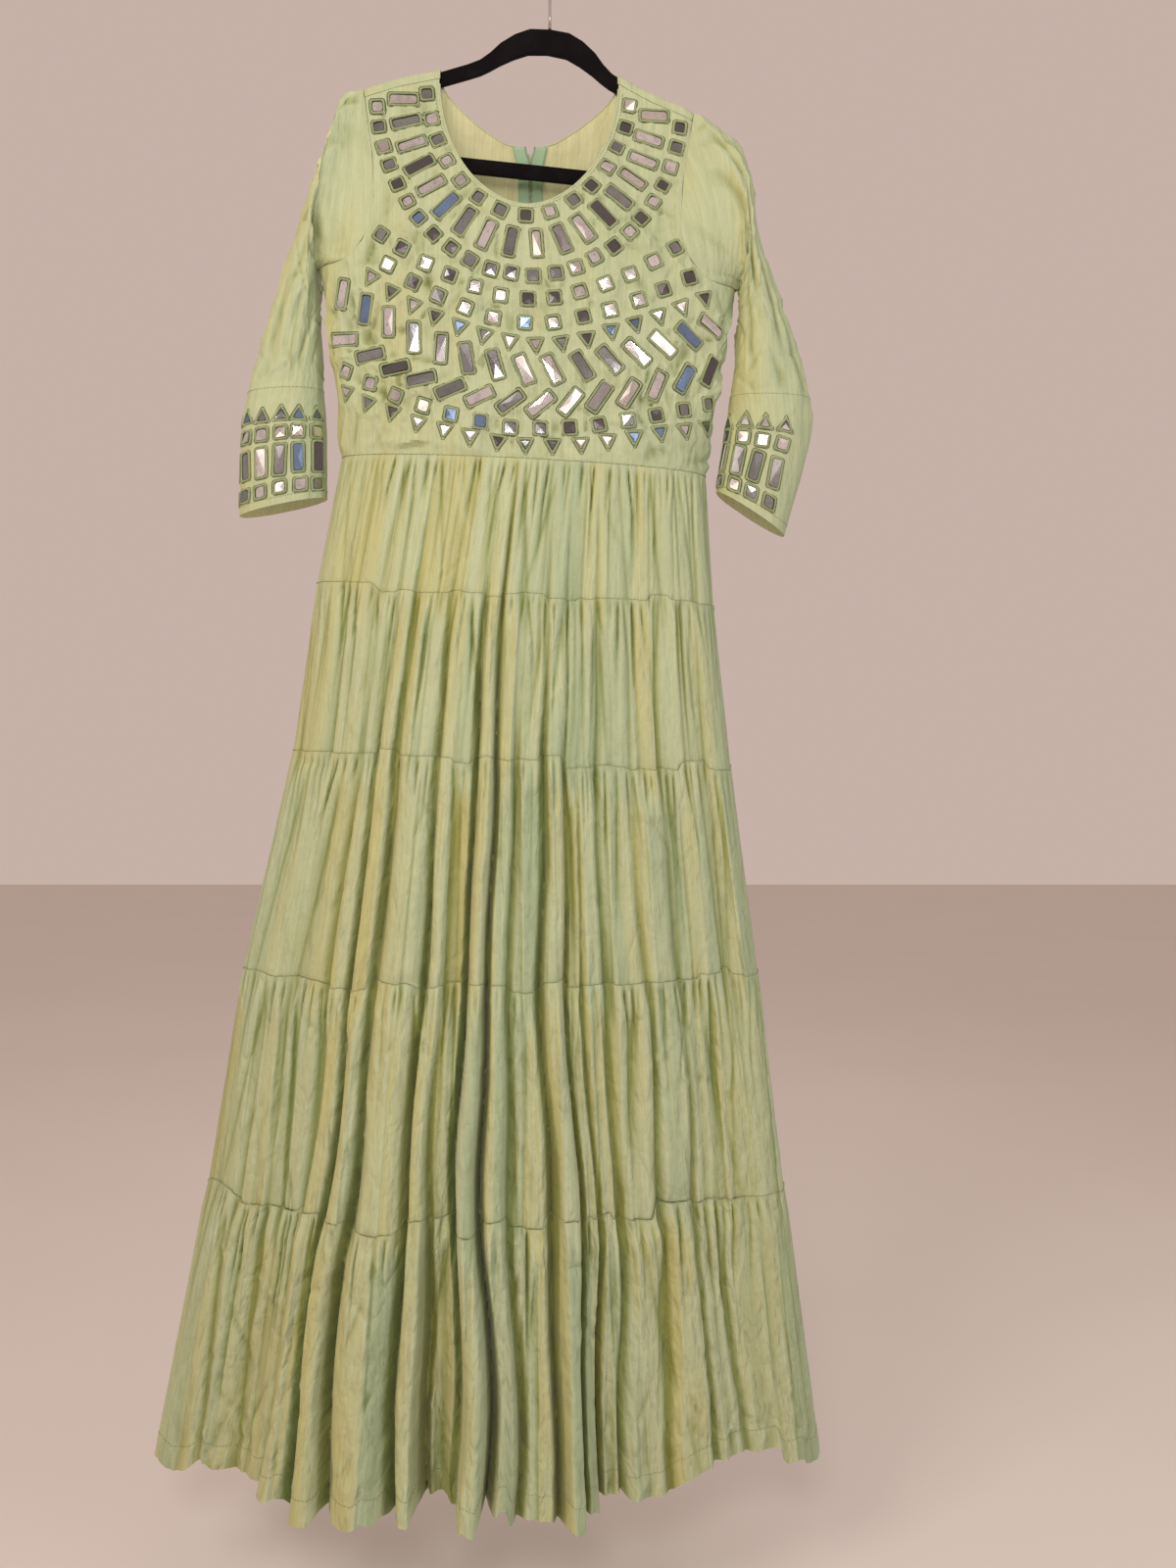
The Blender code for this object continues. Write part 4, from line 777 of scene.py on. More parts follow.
def bodice_front_shell(motifs):
    """The front panel, filled with an even net of points between its edges."""
    edge = front_outline(70)
    scale = (0.19 * math.pi / 2, 1)         # laterals to metres, about
    step = NET_STEP / scale[0]
    columns = np.arange(-1, 1, step)
    rows = np.arange(edge[:, 1].min(), edge[:, 1].max(), NET_STEP * 0.866)
    fill = np.array([(a + (i % 2) * step / 2, b) for i, b in enumerate(rows) for a in columns])
    outline = edge * scale
    fill = fill[inside_polygon(fill * scale, outline)]
    fill = fill[edge_distance(fill * scale, outline) > NET_STEP * 0.55]
    flat = np.vstack([edge, fill])
    ring = [(i, (i + 1) % len(edge)) for i in range(len(edge))]
    _, _, faces, sources, _, _ = delaunay_2d_cdt(
        [tuple(map(float, p)) for p in flat * scale], ring, [], 1, 1e-9)
    faces = [tuple(sources[i][0] for i in face) for face in faces]
    lateral, level = flat.T
    spots = on_bodice(lateral, level, FRONT)
    normals = bodice_normal(lateral, level, FRONT)
    levels = np.linspace(level.min(), level.max(), 60)
    runs = np.array([across_table(b, FRONT)[1] for b in levels])
    row = np.interp(level, levels, np.arange(60))
    low = np.minimum(row.astype(int), 58)
    column = (np.clip(lateral, -1, 1) + 1) * 40
    left = np.minimum(column.astype(int), 79)
    a, b = row - low, column - left
    across = ((1 - a) * ((1 - b) * runs[low, left] + b * runs[low, left + 1])
              + a * ((1 - b) * runs[low + 1, left] + b * runs[low + 1, left + 1]))
    near_edge = edge_distance(flat * scale, outline)
    ease = smooth(near_edge / 0.010)
    relief = creased(spots[:, 0], spots[:, 2], FRONT_CREASES) * ease
    relief += crumpled(across + 0.2, -level - 0.1, 640, (0.4, 0.4), SEED + 11, 0.0037) * ease
    relief = settled(relief, across, level, motifs) + front_relief(across, level, motifs)
    relief -= SEAM_DEEP * soft_valley(near_edge / 0.0018)
    # Painted light and shade on the front panel: lean tints the cloth by which way it faces, and hollow
    # darkens its creases.
    marks = {"lean": normals[:, 0], "hollow": np.clip(-relief / 0.0065, -1, 1)}
    return cloth_shell("bodice_front_cloth", spots + normals * relief[:, None], faces, marks,
                       paired(across, level), "bodice_front")


def back_neck(side_x, count):
    """Half of the back neckline, from the shoulder to the top of the zip's notch."""
    curve = neck_curve(4 * count + 1, NECK_BACK_Z, NECK_BACK_ROUND, SHOULDER_SEAM)
    half = curve[:2 * count + 1] if side_x < 0 else curve[2 * count:][::-1]
    stop = GOWN_X + side_x * ZIP_NOTCH_HALF
    run = run_of(half)
    end = np.interp(-abs(stop - GOWN_X), -np.abs(half[:, 0] - GOWN_X), run)
    at = np.linspace(0, end, count)
    return np.stack([np.interp(at, run, half[:, k]) for k in (0, 1)], axis=1)


def back_grid(side_x):
    """Rows of a back half from its shoulder seam, over the ridge and down to the waist."""
    drops = np.concatenate([[SHOULDER_SEAM - GAP / 2], FOLD_DROPS[1:], [0], FOLD_DROPS[::-1]])
    sides = [FRONT] * len(FOLD_DROPS) + [BACK] * (len(FOLD_DROPS) + 1)
    columns = 9
    rows = []
    for drop, side in zip(drops, sides):
        arm_x = armhole_line(side_x, np.array([up_of_drop(side_x, drop)]))[0, 0]
        x = np.linspace(GOWN_X + side_x * NECK_HALF, arm_x, columns)
        points = on_front_view(x, ridge(x) - drop, side)[0]
        if drop == 0:
            points[:, 1] = 0
        rows.append(points)
    waist = SEAMS["z"][0] + GAP / 2
    outer = np.stack(flat_from(*armhole_line(side_x, ARM_UPS[::-1]).T), axis=1)
    side_levels = np.linspace(outer[-1, 1], waist, 8)[1:]
    outer = np.vstack([outer, [(side_x, level) for level in side_levels]])
    notch = (GOWN_X + side_x * GAP / 2, NECK_BACK_Z - ZIP_NOTCH)
    inner = [flat_from(*p) for p in (*back_neck(side_x, 7)[1:], notch)]
    levels = np.linspace(inner[-1][1], waist, len(outer) - len(inner) + 1)[1:]
    inner += [(flat_from(notch[0], level)[0], level) for level in levels]
    share = np.linspace(0, 1, columns)
    for (lat_in, level_in), (lat_out, level_out) in zip(inner, outer):
        level = level_in + (level_out - level_in) * share
        start = to_across(lat_in, level_in, BACK)
        across = start + (to_across(lat_out, level_out, BACK) - start) * share
        lateral = np.array([to_lateral(a, b, BACK) for a, b in zip(across, level)])
        rows.append(on_bodice(lateral, level, BACK))
    return np.array(rows)


def grid_shell(name, points, relief, closed, sign, grain):
    """A grid of cloth, moved out by its relief, with flat places along its grain and marks."""
    points = points + grid_normals(points, closed, sign) * relief[..., None]
    shown = grid_normals(points, closed, sign)
    faces = grid_faces(*points.shape[:2], closed)
    shell = cloth_shell(name + "_cloth", points.reshape(-1, 3),
                        faces[:, ::-1] if sign > 0 else faces,
                        cloth_marks(relief, shown, closed),
                        (points @ grain.T).reshape(-1, 2), name)
    return points, shown, shell


def bodice_back_shell(side_x, word):
    """A back half, with long creases, crumples and a dip along the zip."""
    points = refined(back_grid(side_x), 5, 6, False)
    x, z = points[..., 0], points[..., 2]
    low = smooth((-0.150 - z) / 0.03) * (points[..., 1] > 0)
    relief = creased(x, z, BACK_CREASES) * low
    relief += crumpled(x + 0.25, -z - 0.1, 120, (0.45, 0.42), SEED + 31 + side_x, 0.0008) * low
    width = np.linalg.norm(np.diff(points, axis=1), axis=2).sum(axis=1, keepdims=True)
    columns = np.arange(points.shape[1])
    relief -= 0.0008 * soft_valley((width - columns / columns[-1] * width) / 0.0025)
    return grid_shell("bodice_back_" + word, points, relief, False, -side_x,
                      np.array([(1, 0.3, 0), (0, 0.3, 1)]))


# ---------------------------------------------------------------- sleeves

def sleeve_loop(side_x):
    fold = np.array([up_of_drop(side_x, drop) for drop in FOLD_DROPS])
    front = np.concatenate([ARM_UPS, fold, [1]])
    return np.concatenate([front, front[-2:0:-1]]), np.array([FRONT] * len(front)
                                                             + [BACK] * (len(front) - 2))


def sleeve_rows(side_x):
    """Rows of points from the armhole to the cuff, and the columns' share round the sleeve."""
    ups, sides = sleeve_loop(side_x)
    line = armhole_line(side_x, ups)
    first, directions = np.zeros((len(ups), 3)), np.zeros((len(ups), 3))
    for side in (FRONT, BACK):
        pick = sides == side
        first[pick], directions[pick] = on_front_view(*line[pick].T, side)
    for at_fold in (0, len(ARM_UPS) + len(FOLD_DROPS)):
        first[at_fold, 1] = 0
        directions[at_fold] = unit(directions[at_fold] * (1, 0, 1))
    along = unit(np.roll(first, -1, axis=0) - np.roll(first, 1, axis=0))
    away = unit(np.cross(directions, along)) * -side_x
    ease = 1 + UNDERARM_EASE * np.clip(1 - ups / 0.1, 0, 1)
    rows = [first + away * (GAP * ease)[:, None]]
    turn = np.arccos(1 - 2 * ups)
    share = (1 - np.cos(turn)) / 2
    bulge = sides * np.sin(turn).clip(0) ** SIDE_ROUND
    for in_x, in_z, out_x, out_z, depth in SLEEVE[side_x]:
        rows.append(np.stack([in_x + (out_x - in_x) * share, bulge * depth,
                              in_z + (out_z - in_z) * share], axis=1))
    return np.array(rows), turn / (2 * math.pi) * np.where(sides == FRONT, 1, -1) % 1


def cuff_mirrors(rows, side_x):
    """Mirrors of a cuff: kind, centre, axes across and up, and normal, each in space."""
    start = len(ARM_UPS) + 2 * len(FOLD_DROPS) + 1 + len(ARM_UPS) // 2
    count = rows.shape[1]
    ring = rows[CUFF_TOP:][:, [(start + k) % count for k in range(count + 1)]]
    run = run_of(ring[-1])
    up = np.linalg.norm(np.diff(rows[CUFF_TOP:], axis=0), axis=2).mean(axis=1)[::-1]
    heights = summed(up)

    def spot(u, v):
        rings = [[np.interp(u, run, ring[r][:, k]) for k in range(3)] for r in (2, 1, 0)]
        return np.array([np.interp(v, heights, [r[k] for r in rings]) for k in range(3)])

    found = []
    for kind, height in CUFF_ROWS:
        for k in range(CUFF_COLUMNS):
            u = run[-1] / 2 + (k - (CUFF_COLUMNS - 1) / 2) * CUFF_STEP + CUFF_SHIFT[side_x]
            across = unit(spot(u + 0.004, height) - spot(u - 0.004, height)) * side_x
            lift = unit(spot(u, height + 0.004) - spot(u, height - 0.004))
            found.append((kind, spot(u, height), across, lift, unit(np.cross(across, lift))))
    return found


def sleeve_shell(side_x, word):
    """A sleeve with long creases and crumples, which its stitched cuff holds smoother."""
    rows, round_share = sleeve_rows(side_x)
    fine = refined(rows, 11, 5, True)
    count_r, count_c = fine.shape[:2]
    stops = np.append(np.where(np.arange(len(round_share)) == 0, 0, round_share), 1.0)
    share = np.interp(np.arange(count_c) / 5, np.arange(len(stops)), stops)[None, :]
    down = np.linspace(0, 1, count_r)[:, None]
    scale = (0.20, 0.38)
    flat = (share * scale[0], down * scale[1])
    cuff = smooth((0.80 - down) / 0.06)
    ease = smooth(down / 0.04)
    relief = creased(*flat, SLEEVE_CREASES[side_x], scale) * ease * (0.15 + 1.25 * cuff)
    relief = relief + crumpled(*flat, 190, scale, SEED + 50 + side_x, 0.0019) * ease * (0.3 + 0.7 * cuff)
    for depth, at, width in ((0.0004, 0, 0.003), (0.0006, 0.775, 0.0015)):
        relief = relief - depth * soft_valley((down - at) * scale[1] / width)
    run = unit((rows[-1].mean(axis=0) - rows[1].mean(axis=0)) * (1, 0, 1))
    grain = np.array([(-run[2], 0.8, run[0]), run])
    return rows, *grid_shell("sleeve_" + word, fine, relief, True, side_x, grain)


# ---------------------------------------------------------------- skirt

def seam_at(level, column):
    return np.interp(level, np.arange(len(SEAMS["z"])), SEAMS[column])


def skirt_base(turn, level):
    """Plan of the skirt without folds. Turn runs from the left side (-90 degrees) by the front."""
    across, forward = np.sin(turn), np.cos(turn)
    left, right, middle = (seam_at(level, c) for c in ("left", "right", "middle"))
    x = middle + across * np.where(across < 0, middle - left, right - middle)
    reach, lens = np.abs(forward), seam_at(level, "lens")
    shape = (1 - lens) * reach ** SIDE_ROUND + lens * reach ** LENS_POWER
    front = seam_at(level, "front") * (1 - seam_at(level, "skew") * across)
    depth = np.where(forward > 0, front, seam_at(level, "back"))
    return np.stack([x, -np.sign(forward) * depth * shape], axis=-1)


def fold_lines():
    """Angles of the large valleys all round, with their depths, lobes and lateness."""
    front, back = FRONT_FOLDS, BACK_FOLDS
    angles = np.concatenate([np.arcsin(front["across"]), math.pi - np.arcsin(back["across"])])
    return [angles] + [np.concatenate([front[c], back[c]]) for c in ("valley", "lobe", "late")]


def lobe_of(turn):
    """Which lobe each angle is in, the next one, and the share of the way across it."""
    angles = fold_lines()[0]
    turn = (np.asarray(turn) + math.pi / 2) % (2 * math.pi) - math.pi / 2
    here = np.clip(np.searchsorted(angles, turn + 1e-9) - 1, 0, len(angles) - 1)
    after = (here + 1) % len(angles)
    stop = np.where(after == 0, angles[0] + 2 * math.pi, angles[after])
    return here, after, (turn - angles[here]) / (stop - angles[here])


def large_folds(turn, level):
    """How far the cloth stands out of the plain plan: lobes between narrow valleys."""
    _, valley, lobe, late = fold_lines()
    wander = np.sin(2.3 * level + 5 * turn) + 0.6 * np.sin(5.1 * level - 9 * turn)
    here, after, share = lobe_of(turn + 0.0040 * level * wander)
    grow = (level / 5) ** late
    ease = [np.clip(1 - s / VALLEY_WIDTH, 0, 1) ** VALLEY_POWER for s in (share, 1 - share)]
    out = lobe[here] * grow[here] * np.clip(np.sin(math.pi * share), 0, 1) ** LOBE_POWER
    out = out - valley[here] * grow[here] * ease[0] - valley[after] * grow[after] * ease[1]
    room = np.abs(skirt_base(turn, level)[:, 1])
    return out / 1000 * np.clip(room / FOLD_ROOM, 0.1, 1)


def lobe_hang(turn, seam):
    """How much lower or higher each lobe hangs at a seam than the plain seam line."""
    drops = np.random.default_rng(SEED + 90 + seam).uniform(-1, 1, len(fold_lines()[0]))
    here, after, share = lobe_of(turn)
    step = smooth((share - 0.76) / 0.24)
    return LOBE_HANG[seam] * (drops[here] + (drops[after] - drops[here]) * step)


def loop_length(turn, level):
    """Distance round the skirt, without folds, from the left side to each angle."""
    return run_of(skirt_base(turn, level))


def seeded_folds(length, step, depth, seed):
    """Place, depth, width, drift and two random shares of each fold, unevenly round a loop."""
    dice = np.random.default_rng(seed)
    count = int(length / step)
    places = (np.arange(count) + dice.uniform(-0.36, 0.36, count)) * length / count
    depths = depth / 1000 * dice.uniform(0.25, 1.35, count)
    widths = step * dice.uniform(0.18, 0.36, count)
    return zip(places, depths, widths, dice.normal(0, 0.35, count) * step, dice.random((2, count)).T)


def wrapped(distance, length):
    return (distance + length / 2) % length - length / 2


def held_folds(run, length, tier, down):
    """The wider folds of a tier, which reach the seam below it, and the painted shade along their valleys.
    """
    step, deep = TIERS["fold_step"][tier], TIERS["fold_deep"][tier]
    total, lines = 0, 0
    for place, depth, width, drift, (top, low) in seeded_folds(length, step, deep, SEED + 200 + tier):
        away = wrapped(run - place - drift * down, length)
        grow = smooth(down / (0.15 + 0.5 * top)) * (1 - 0.8 * low * smooth((down - 0.5) / 0.5))
        total = total - depth * grow * sharp_valley(away / (width * (0.7 + 0.5 * down)))
        lines = lines + 0.7 * grow * np.clip(1 - np.abs(away) / 0.0024, 0, 1)
    return total, lines


def pleats(run, length, tier, down):
    """Flat panels between crisp pleat edges, each leaning its own way, their random tones and the painted
    shade along their edges.
    """
    dice = np.random.default_rng(SEED + 500 + tier)
    step, deep = TIERS["pleat_step"][tier], TIERS["pleat_deep"][tier] / 1000
    count = int(length / step)
    places = np.cumsum(dice.uniform(0.35, 1.75, count))
    drift = dice.normal(0, 0.16, count) * step
    starts, ends = dice.uniform(-1, 1, (2, count)) * deep
    begin, fade = dice.random((2, count))
    tones = np.clip(dice.normal(0, 0.55, count), -1, 1)
    edges = places / places[-1] * length + drift * down
    at = (run - edges[0]) % length + edges[0]
    here = np.clip(np.searchsorted(edges, at, side="right") - 1, 0, count - 1)
    after, before = (here + 1) % count, here - 1
    stop = np.where(after == 0, edges[0] + length, edges[after])
    share = (at - edges[here]) / (stop - edges[here])
    reach = smooth(down / (0.04 + 0.35 * begin)) * (1 - 0.9 * (fade < 0.3) * smooth((down - 0.5) / 0.4))
    values = (starts[here] + (ends[here] - starts[here]) * share) * reach[here]
    shades, lines = tones[here], 0
    for away, other, edge in ((at - edges[here], before, ends), (stop - at, after, starts)):
        near = 0.5 * (1 - np.clip(away / 0.0022, 0, 1)) ** 2
        step = np.clip((edge[other] * reach[other] - values) / deep, 0, 1)
        lines = lines + step * (1 - np.clip(away / 0.0032, 0, 1))
        values = values + near * (edge[other] * reach[other] - values)
        shades = shades + near * (tones[other] - shades)
    return values, shades, lines


def gathers(run, length, tier, down, height):
    """Small folds that start at the stitches above and run out further down."""
    step, deep = TIERS["gather_step"][tier], TIERS["gather_deep"][tier]
    total, lines = 0, 0
    for place, depth, width, drift, (a, b) in seeded_folds(length, step, deep, SEED + 300 + tier):
        reach = (0.030 + 0.150 * a ** 1.6) / height
        away = wrapped(run - place - drift * smooth(down / 0.4), length)
        grow = (0.20 + 0.80 * smooth(down * height / 0.012)) * smooth(1 - down / reach * 0.8)
        total = total - depth * grow * sharp_valley(away / (width * (0.8 + 1.5 * b * down)))
        # Painted shade along each gather's valley.
        lines = lines + 0.8 * grow * np.clip(1 - np.abs(away) / 0.0020, 0, 1)
    return total + deep / 1000 * 0.4 * smooth(1 - down * height / 0.06), lines


def held_cloth(run, length, tier, down):
    """The pleats and wider folds of a tier: how far they stand out, their tones and the painted shade along
    their lines.
    """
    values, tones, lines = pleats(run, length, tier, down)
    folds, more_crease_shade = held_folds(run, length, tier, down)
    return values + folds, tones, lines + more_crease_shade


def skirt_tier_shell(tier):
    """One tier: its large folds, the folds held from the tier above, gathers and creases."""
    fine = np.linspace(-math.pi / 2, 1.5 * math.pi, 2881)
    run_fine = loop_length(fine, tier + 0.5)
    middle, length = run_fine[1440], run_fine[-1]
    front, back = TIER_COLUMNS[tier]
    run = np.concatenate([np.linspace(0, middle, front, endpoint=False),
                          np.linspace(middle, length, back, endpoint=False)])
    turn = np.interp(run, run_fine, fine)
    share = np.linspace(0, 1, TIER_ROWS[tier])
    downs = 0.45 * share ** 1.8 + 0.55 * share
    height = SEAMS["z"][tier] - SEAMS["z"][tier + 1]
    fall = downs[:, None] * height
    creases = crumpled(run[None, :], fall, int(TIERS["creases"][tier]), (length, height),
                       SEED + 400 + tier, TIERS["crease_deep"][tier] / 1000)
    hem = tier == 4
    if hem:
        hem_creases = crumpled(run[None, :], fall - height + HEM_CREASED, 150,
                               (length, HEM_CREASED), SEED + 500, 0.0026)
        dice = np.random.default_rng(SEED + 600)
        uneven = 0.0042 * np.interp(run, np.sort(dice.uniform(0, length, 90)),
                                    dice.uniform(-1, 1, 90), period=length)
    hangs = [lobe_hang(turn, tier), lobe_hang(turn, tier + 1)]
    if tier:
        above = loop_length(fine, tier - 0.5)
        high, tone_above, crease_shade_above = held_cloth(np.interp(turn, fine, above), above[-1], tier - 1, 1.0)
    points, relief, tones, lines = [], [], [], []
    for row, down in enumerate(downs):
        level = tier + down
        base = skirt_base(turn, level)
        held, tone, line = held_cloth(run, length, tier, down)
        if tier:
            held = held + high * (1 - smooth(down * height / 0.06))
            from_above = smooth(down * height / 0.05)
            tone = tone_above + (tone - tone_above) * from_above
            line = crease_shade_above + (line - crease_shade_above) * from_above
        folds, more_crease_shade = gathers(run, length, tier, down, height)
        small = held + folds
        small = small + TIERS["puff"][tier] / 1000 * smooth(down * height / 0.03) * (1 - down)
        small = small + creases[row] * smooth(down * height / 0.01)
        if hem:
            small = small + hem_creases[row]
        edge = min(down, 1 if hem else 1 - down) * height
        small = small - SEAM_DEEP * soft_valley(edge / 0.0014)
        if hem:
            turned_up = (1 - down) * height
            small = small + HEM_STEP * smooth((HEM_TURN + 0.0008 - turned_up) / 0.0016)
        room = np.clip(np.abs(base[:, 1]) / FOLD_ROOM, 0.25, 1)
        out = large_folds(turn, level) + small * room
        edge_run = unit(np.roll(base, -1, axis=0) - np.roll(base, 1, axis=0))
        plan = base + paired(edge_run[:, 1], -edge_run[:, 0]) * out[:, None]
        hang = hangs[0] + (hangs[1] - hangs[0]) * down - 0.6 * (held - held.mean())
        if hem:
            hang = hang + uneven * smooth((down - 0.6) / 0.4)
        z = seam_at(level, "z") - seam_at(level, "slope") * (plan[:, 0] - GOWN_X) + hang
        points.append(np.column_stack([plan, z]))
        relief.append(out)
        tones.append(tone)
        lines.append(line + more_crease_shade)
    points = np.array(points)
    normals = grid_normals(points, True, 1)
    marks = cloth_marks(np.array(relief), normals, True)
    # line holds the painted shade along pleat edges and fold valleys.
    marks["tone"], marks["line"] = np.ravel(tones), np.ravel(lines)
    faces = grid_faces(len(downs), len(turn), True)[:, ::-1]
    uv = spread(run[None, :] * 1.3, -downs[:, None] * height - tier).reshape(-1, 2)
    name = "skirt_tier_%d" % (tier + 1)
    shell = cloth_shell(name + "_cloth", points.reshape(-1, 3), faces, marks, uv, name)
    return points, normals


# ---------------------------------------------------------------- materials

def feed(tree, socket, value):
    """Gives a node's input its value, or links it where the value is another node's output."""
    value = getattr(value, "socket", value)
    if isinstance(value, bpy.types.NodeSocket):
        tree.links.new(value, socket)
    elif socket.type == "RGBA" and len(value) == 3:
        socket.default_value = (*value, 1)
    else:
        socket.default_value = value


def new_node(tree, kind, settings=None, inputs=None):
    """A node, its settings first, then its inputs. A list feeds one input several times."""
    made = tree.nodes.new(kind)
    for setting, value in (settings or {}).items():
        if setting == "stops":
            for stop, (place, tint) in zip(made.color_ramp.elements, value):
                stop.position, stop.color = place, (*tint, 1)
        else:
            setattr(made, setting, value)
    for socket, value in (inputs or {}).items():
        for one in value if isinstance(value, list) else [value]:
            feed(tree, made.inputs[socket], one)
    return made


class Wire:
    """A value that one node of a material passes on. Arithmetic on it adds Math nodes."""

    def __init__(self, finish, socket):
        self.finish, self.socket = finish, socket

    def joined(self, operation, *values):
        return self.finish.node("Math", {"operation": operation}, dict(enumerate(values)))

    def __add__(self, other):
        return self.joined("ADD", self, other)

    def __sub__(self, other):
        return self.joined("SUBTRACT", self, other)

    def __mul__(self, other):
        return self.joined("MULTIPLY", self, other)

    def __truediv__(self, other):
        return self.joined("DIVIDE", self, other)

    def __rsub__(self, other):
        return self.joined("SUBTRACT", other, self)

    def __abs__(self):
        return self.joined("ABSOLUTE", self)

    __radd__, __rmul__ = __add__, __mul__

    def clipped(self):
        return self.finish.node("Clamp", {}, {"Value": self})


class Finish:
    """A material and the nodes that vary it over a surface."""

    def __init__(self, name, constants):
        self.material = bpy.data.materials.new(name)
        self.material.use_nodes = True
        self.tree = self.material.node_tree
        self.shader = self.tree.nodes["Principled BSDF"]
        for socket, value in constants.items():
            self.shader.inputs[socket].default_value = value

    def node(self, kind, settings=None, inputs=None, output=0):
        made = new_node(self.tree, "ShaderNode" + kind, settings, inputs)
        return Wire(self, made.outputs[output])

    def show(self, socket, value):
        feed(self.tree, self.shader.inputs[socket], value)

    def mixed(self, share, first, second, blend="MIX"):
        settings = {"data_type": "RGBA", "blend_type": blend, "clamp_factor": True}
        return self.node("Mix", settings, {0: share, 6: first, 7: second}, 2)

    def noise(self, place, scale, stretch=(1, 1, 1), detail=2.0, seed=0.0):
        at = self.node("Mapping", {}, {"Vector": place, "Location": (seed, seed, seed), "Scale": stretch})
        return self.node("TexNoise", {}, {"Vector": at, "Scale": scale, "Detail": detail})

    def speckle(self, scale, detail=2.0, seed=0.0, stretch=(1, 1, 1)):
        """Noise fixed to the piece itself."""
        return self.noise(self.node("TexCoord", output=3), scale, stretch, detail, seed)

    def mark(self, name):
        return self.node("Attribute", {"attribute_name": name}, output=2)

    def bump(self, height, distance, strength=1.0):
        self.show("Normal", self.node("Bump", {}, {"Height": height, "Distance": distance,
                                                   "Strength": strength}))


def cloth_finish(sizes, name, tint, inner):
    """Soft slubby cloth: streaks of two shades down the folds, partly random tone and partly painted light
    and shade by which way the cloth leans, with painted shade in the hollows.
    """
    # Painted light: the inner side glows a little in its own colour, as if lit through the thin cloth.
    made = Finish(name, {"Roughness": 0.62, "Specular IOR Level": 0.30, "Sheen Weight": 0.20,
                         "Sheen Roughness": 0.45, "Sheen Tint": (0.90, 0.95, 0.78, 1),
                         "Emission Strength": 0.13 if inner else 0.0})
    flat = made.node("UVMap", {"uv_map": "cloth"})
    streaks, patches, slubs, weft, strands, wrinkles = (
        made.noise(flat, 1, (x, y, 1), detail, seed) for x, y, detail, seed in (
            (46, 3.5, 3, 3), (14, 9, 2, 17), (1300, 70, 2, 5), (60, 1500, 2, 11),
            (380, 16, 2, 23), (75, 26, 3, 31)))
    lean, hollow = made.mark("lean"), made.mark("hollow")
    # low grows down the cloth. It sets the crinkles' bump, and it also paints shade that darkens the cloth
    # towards the bottom.
    low = 0 - made.node("SeparateXYZ", {}, {"Vector": flat}, 1)
    crinkle = made.noise(flat, 1, (30, 17, 1), 3, 47)
    ridges = (abs(crinkle - 0.5) * 9).clipped() * (low * 0.2 + 0.15).clipped()
    # Painted light and shade: cloth that leans left is painted in the warm colour and cloth that leans
    # right in the cool one, mixed with random panel tone, streaks and patches.
    shift = made.mark("tone") * 0.80 - lean * 0.85 + (streaks - 0.5) * 1.6
    patch = (patches - 0.5) * 0.8
    warm_tone_and_light, cool_tone_and_shade = (shift + patch).clipped(), (patch - shift).clipped()
    colour = made.mixed(warm_tone_and_light * (0.3 if inner else 0.9), tint, sizes.warm_colour)
    colour = made.mixed(cool_tone_and_shade * (0.3 if inner else 0.85), colour, sizes.cool_colour)
    # Painted shade: the colour is darkened in deep folds, along the crease lines, and a little more towards
    # the bottom.
    deep = hollow * 0.8 + made.mark("line") * 0.75 + low.clipped() * 0.02 + low * 0.04
    colour = made.mixed(deep.clipped(), colour, sizes.fold_colour, "MULTIPLY")
    thread = (slubs - 0.5) * 0.55 + (weft - 0.5) * 0.45
    speckle = (thread * 0.9 + (strands - 0.5) * 1.1 + 0.5).clipped()
    greys = made.node("ValToRGB", {"stops": [(0.2, (0.34,) * 3), (0.8, (0.66,) * 3)]}, {"Fac": speckle})
    colour = made.mixed(0.30, colour, greys, "OVERLAY")
    made.show("Base Color", colour)
    # Painted light: the inner side's glow.
    if inner:
        made.show("Emission Color", colour)
    made.show("Roughness", 0.58 + (patches - 0.5) * 0.16)
    made.bump(thread * 0.55 + wrinkles * 11 + ridges * 4, 0.00045)
    return made.material


def thread_finish(name, tint, dark):
    made = Finish(name, {"Roughness": 0.55, "Specular IOR Level": 0.35, "Sheen Weight": 0.1})
    twist = made.speckle(900, 1, stretch=(1, 1, 1.6))
    tone = made.speckle(60, 2, 4)
    made.show("Base Color", made.mixed((twist * 0.9 + (tone - 0.5) * 1.2).clipped(), dark, tint))
    made.bump(twist, 0.0002, 0.4)
    return made.material


def glass_finish():
    made = Finish("mirror glass", {"Metallic": 1.0, "Roughness": 0.09, "Coat Weight": 0.6,
                                   "Coat Roughness": 0.03})
    # Painted reflection: the colour each mirror is given for what it reflects.
    shown = made.node("Attribute", {"attribute_name": "shown"})
    cloud = made.speckle(95, 2, 2)
    spots = made.speckle(420, 2, 8)
    dull = made.mixed(((cloud - 0.45) * 2.4).clipped() * 0.45, shown, (0.13, 0.12, 0.11))
    made.show("Base Color", made.mixed((spots - 0.60) * 3, dull, (0.055, 0.05, 0.04)))
    made.show("Roughness", 0.06 + cloud * 0.12)
    return made.material


def velvet_finish(tint):
    made = Finish("black velvet", {"Roughness": 0.95, "Specular IOR Level": 0.10,
                                   "Sheen Weight": 0.25, "Sheen Roughness": 0.35,
                                   "Sheen Tint": (0.42, 0.40, 0.42, 1)})
    nap = made.speckle(2200, 2)
    worn = made.speckle(45, 3, 6)
    made.show("Base Color", made.mixed((worn - 0.45) * 1.6, tint, (0.014, 0.013, 0.014)))
    made.bump(nap, 0.00025, 0.6)
    return made.material


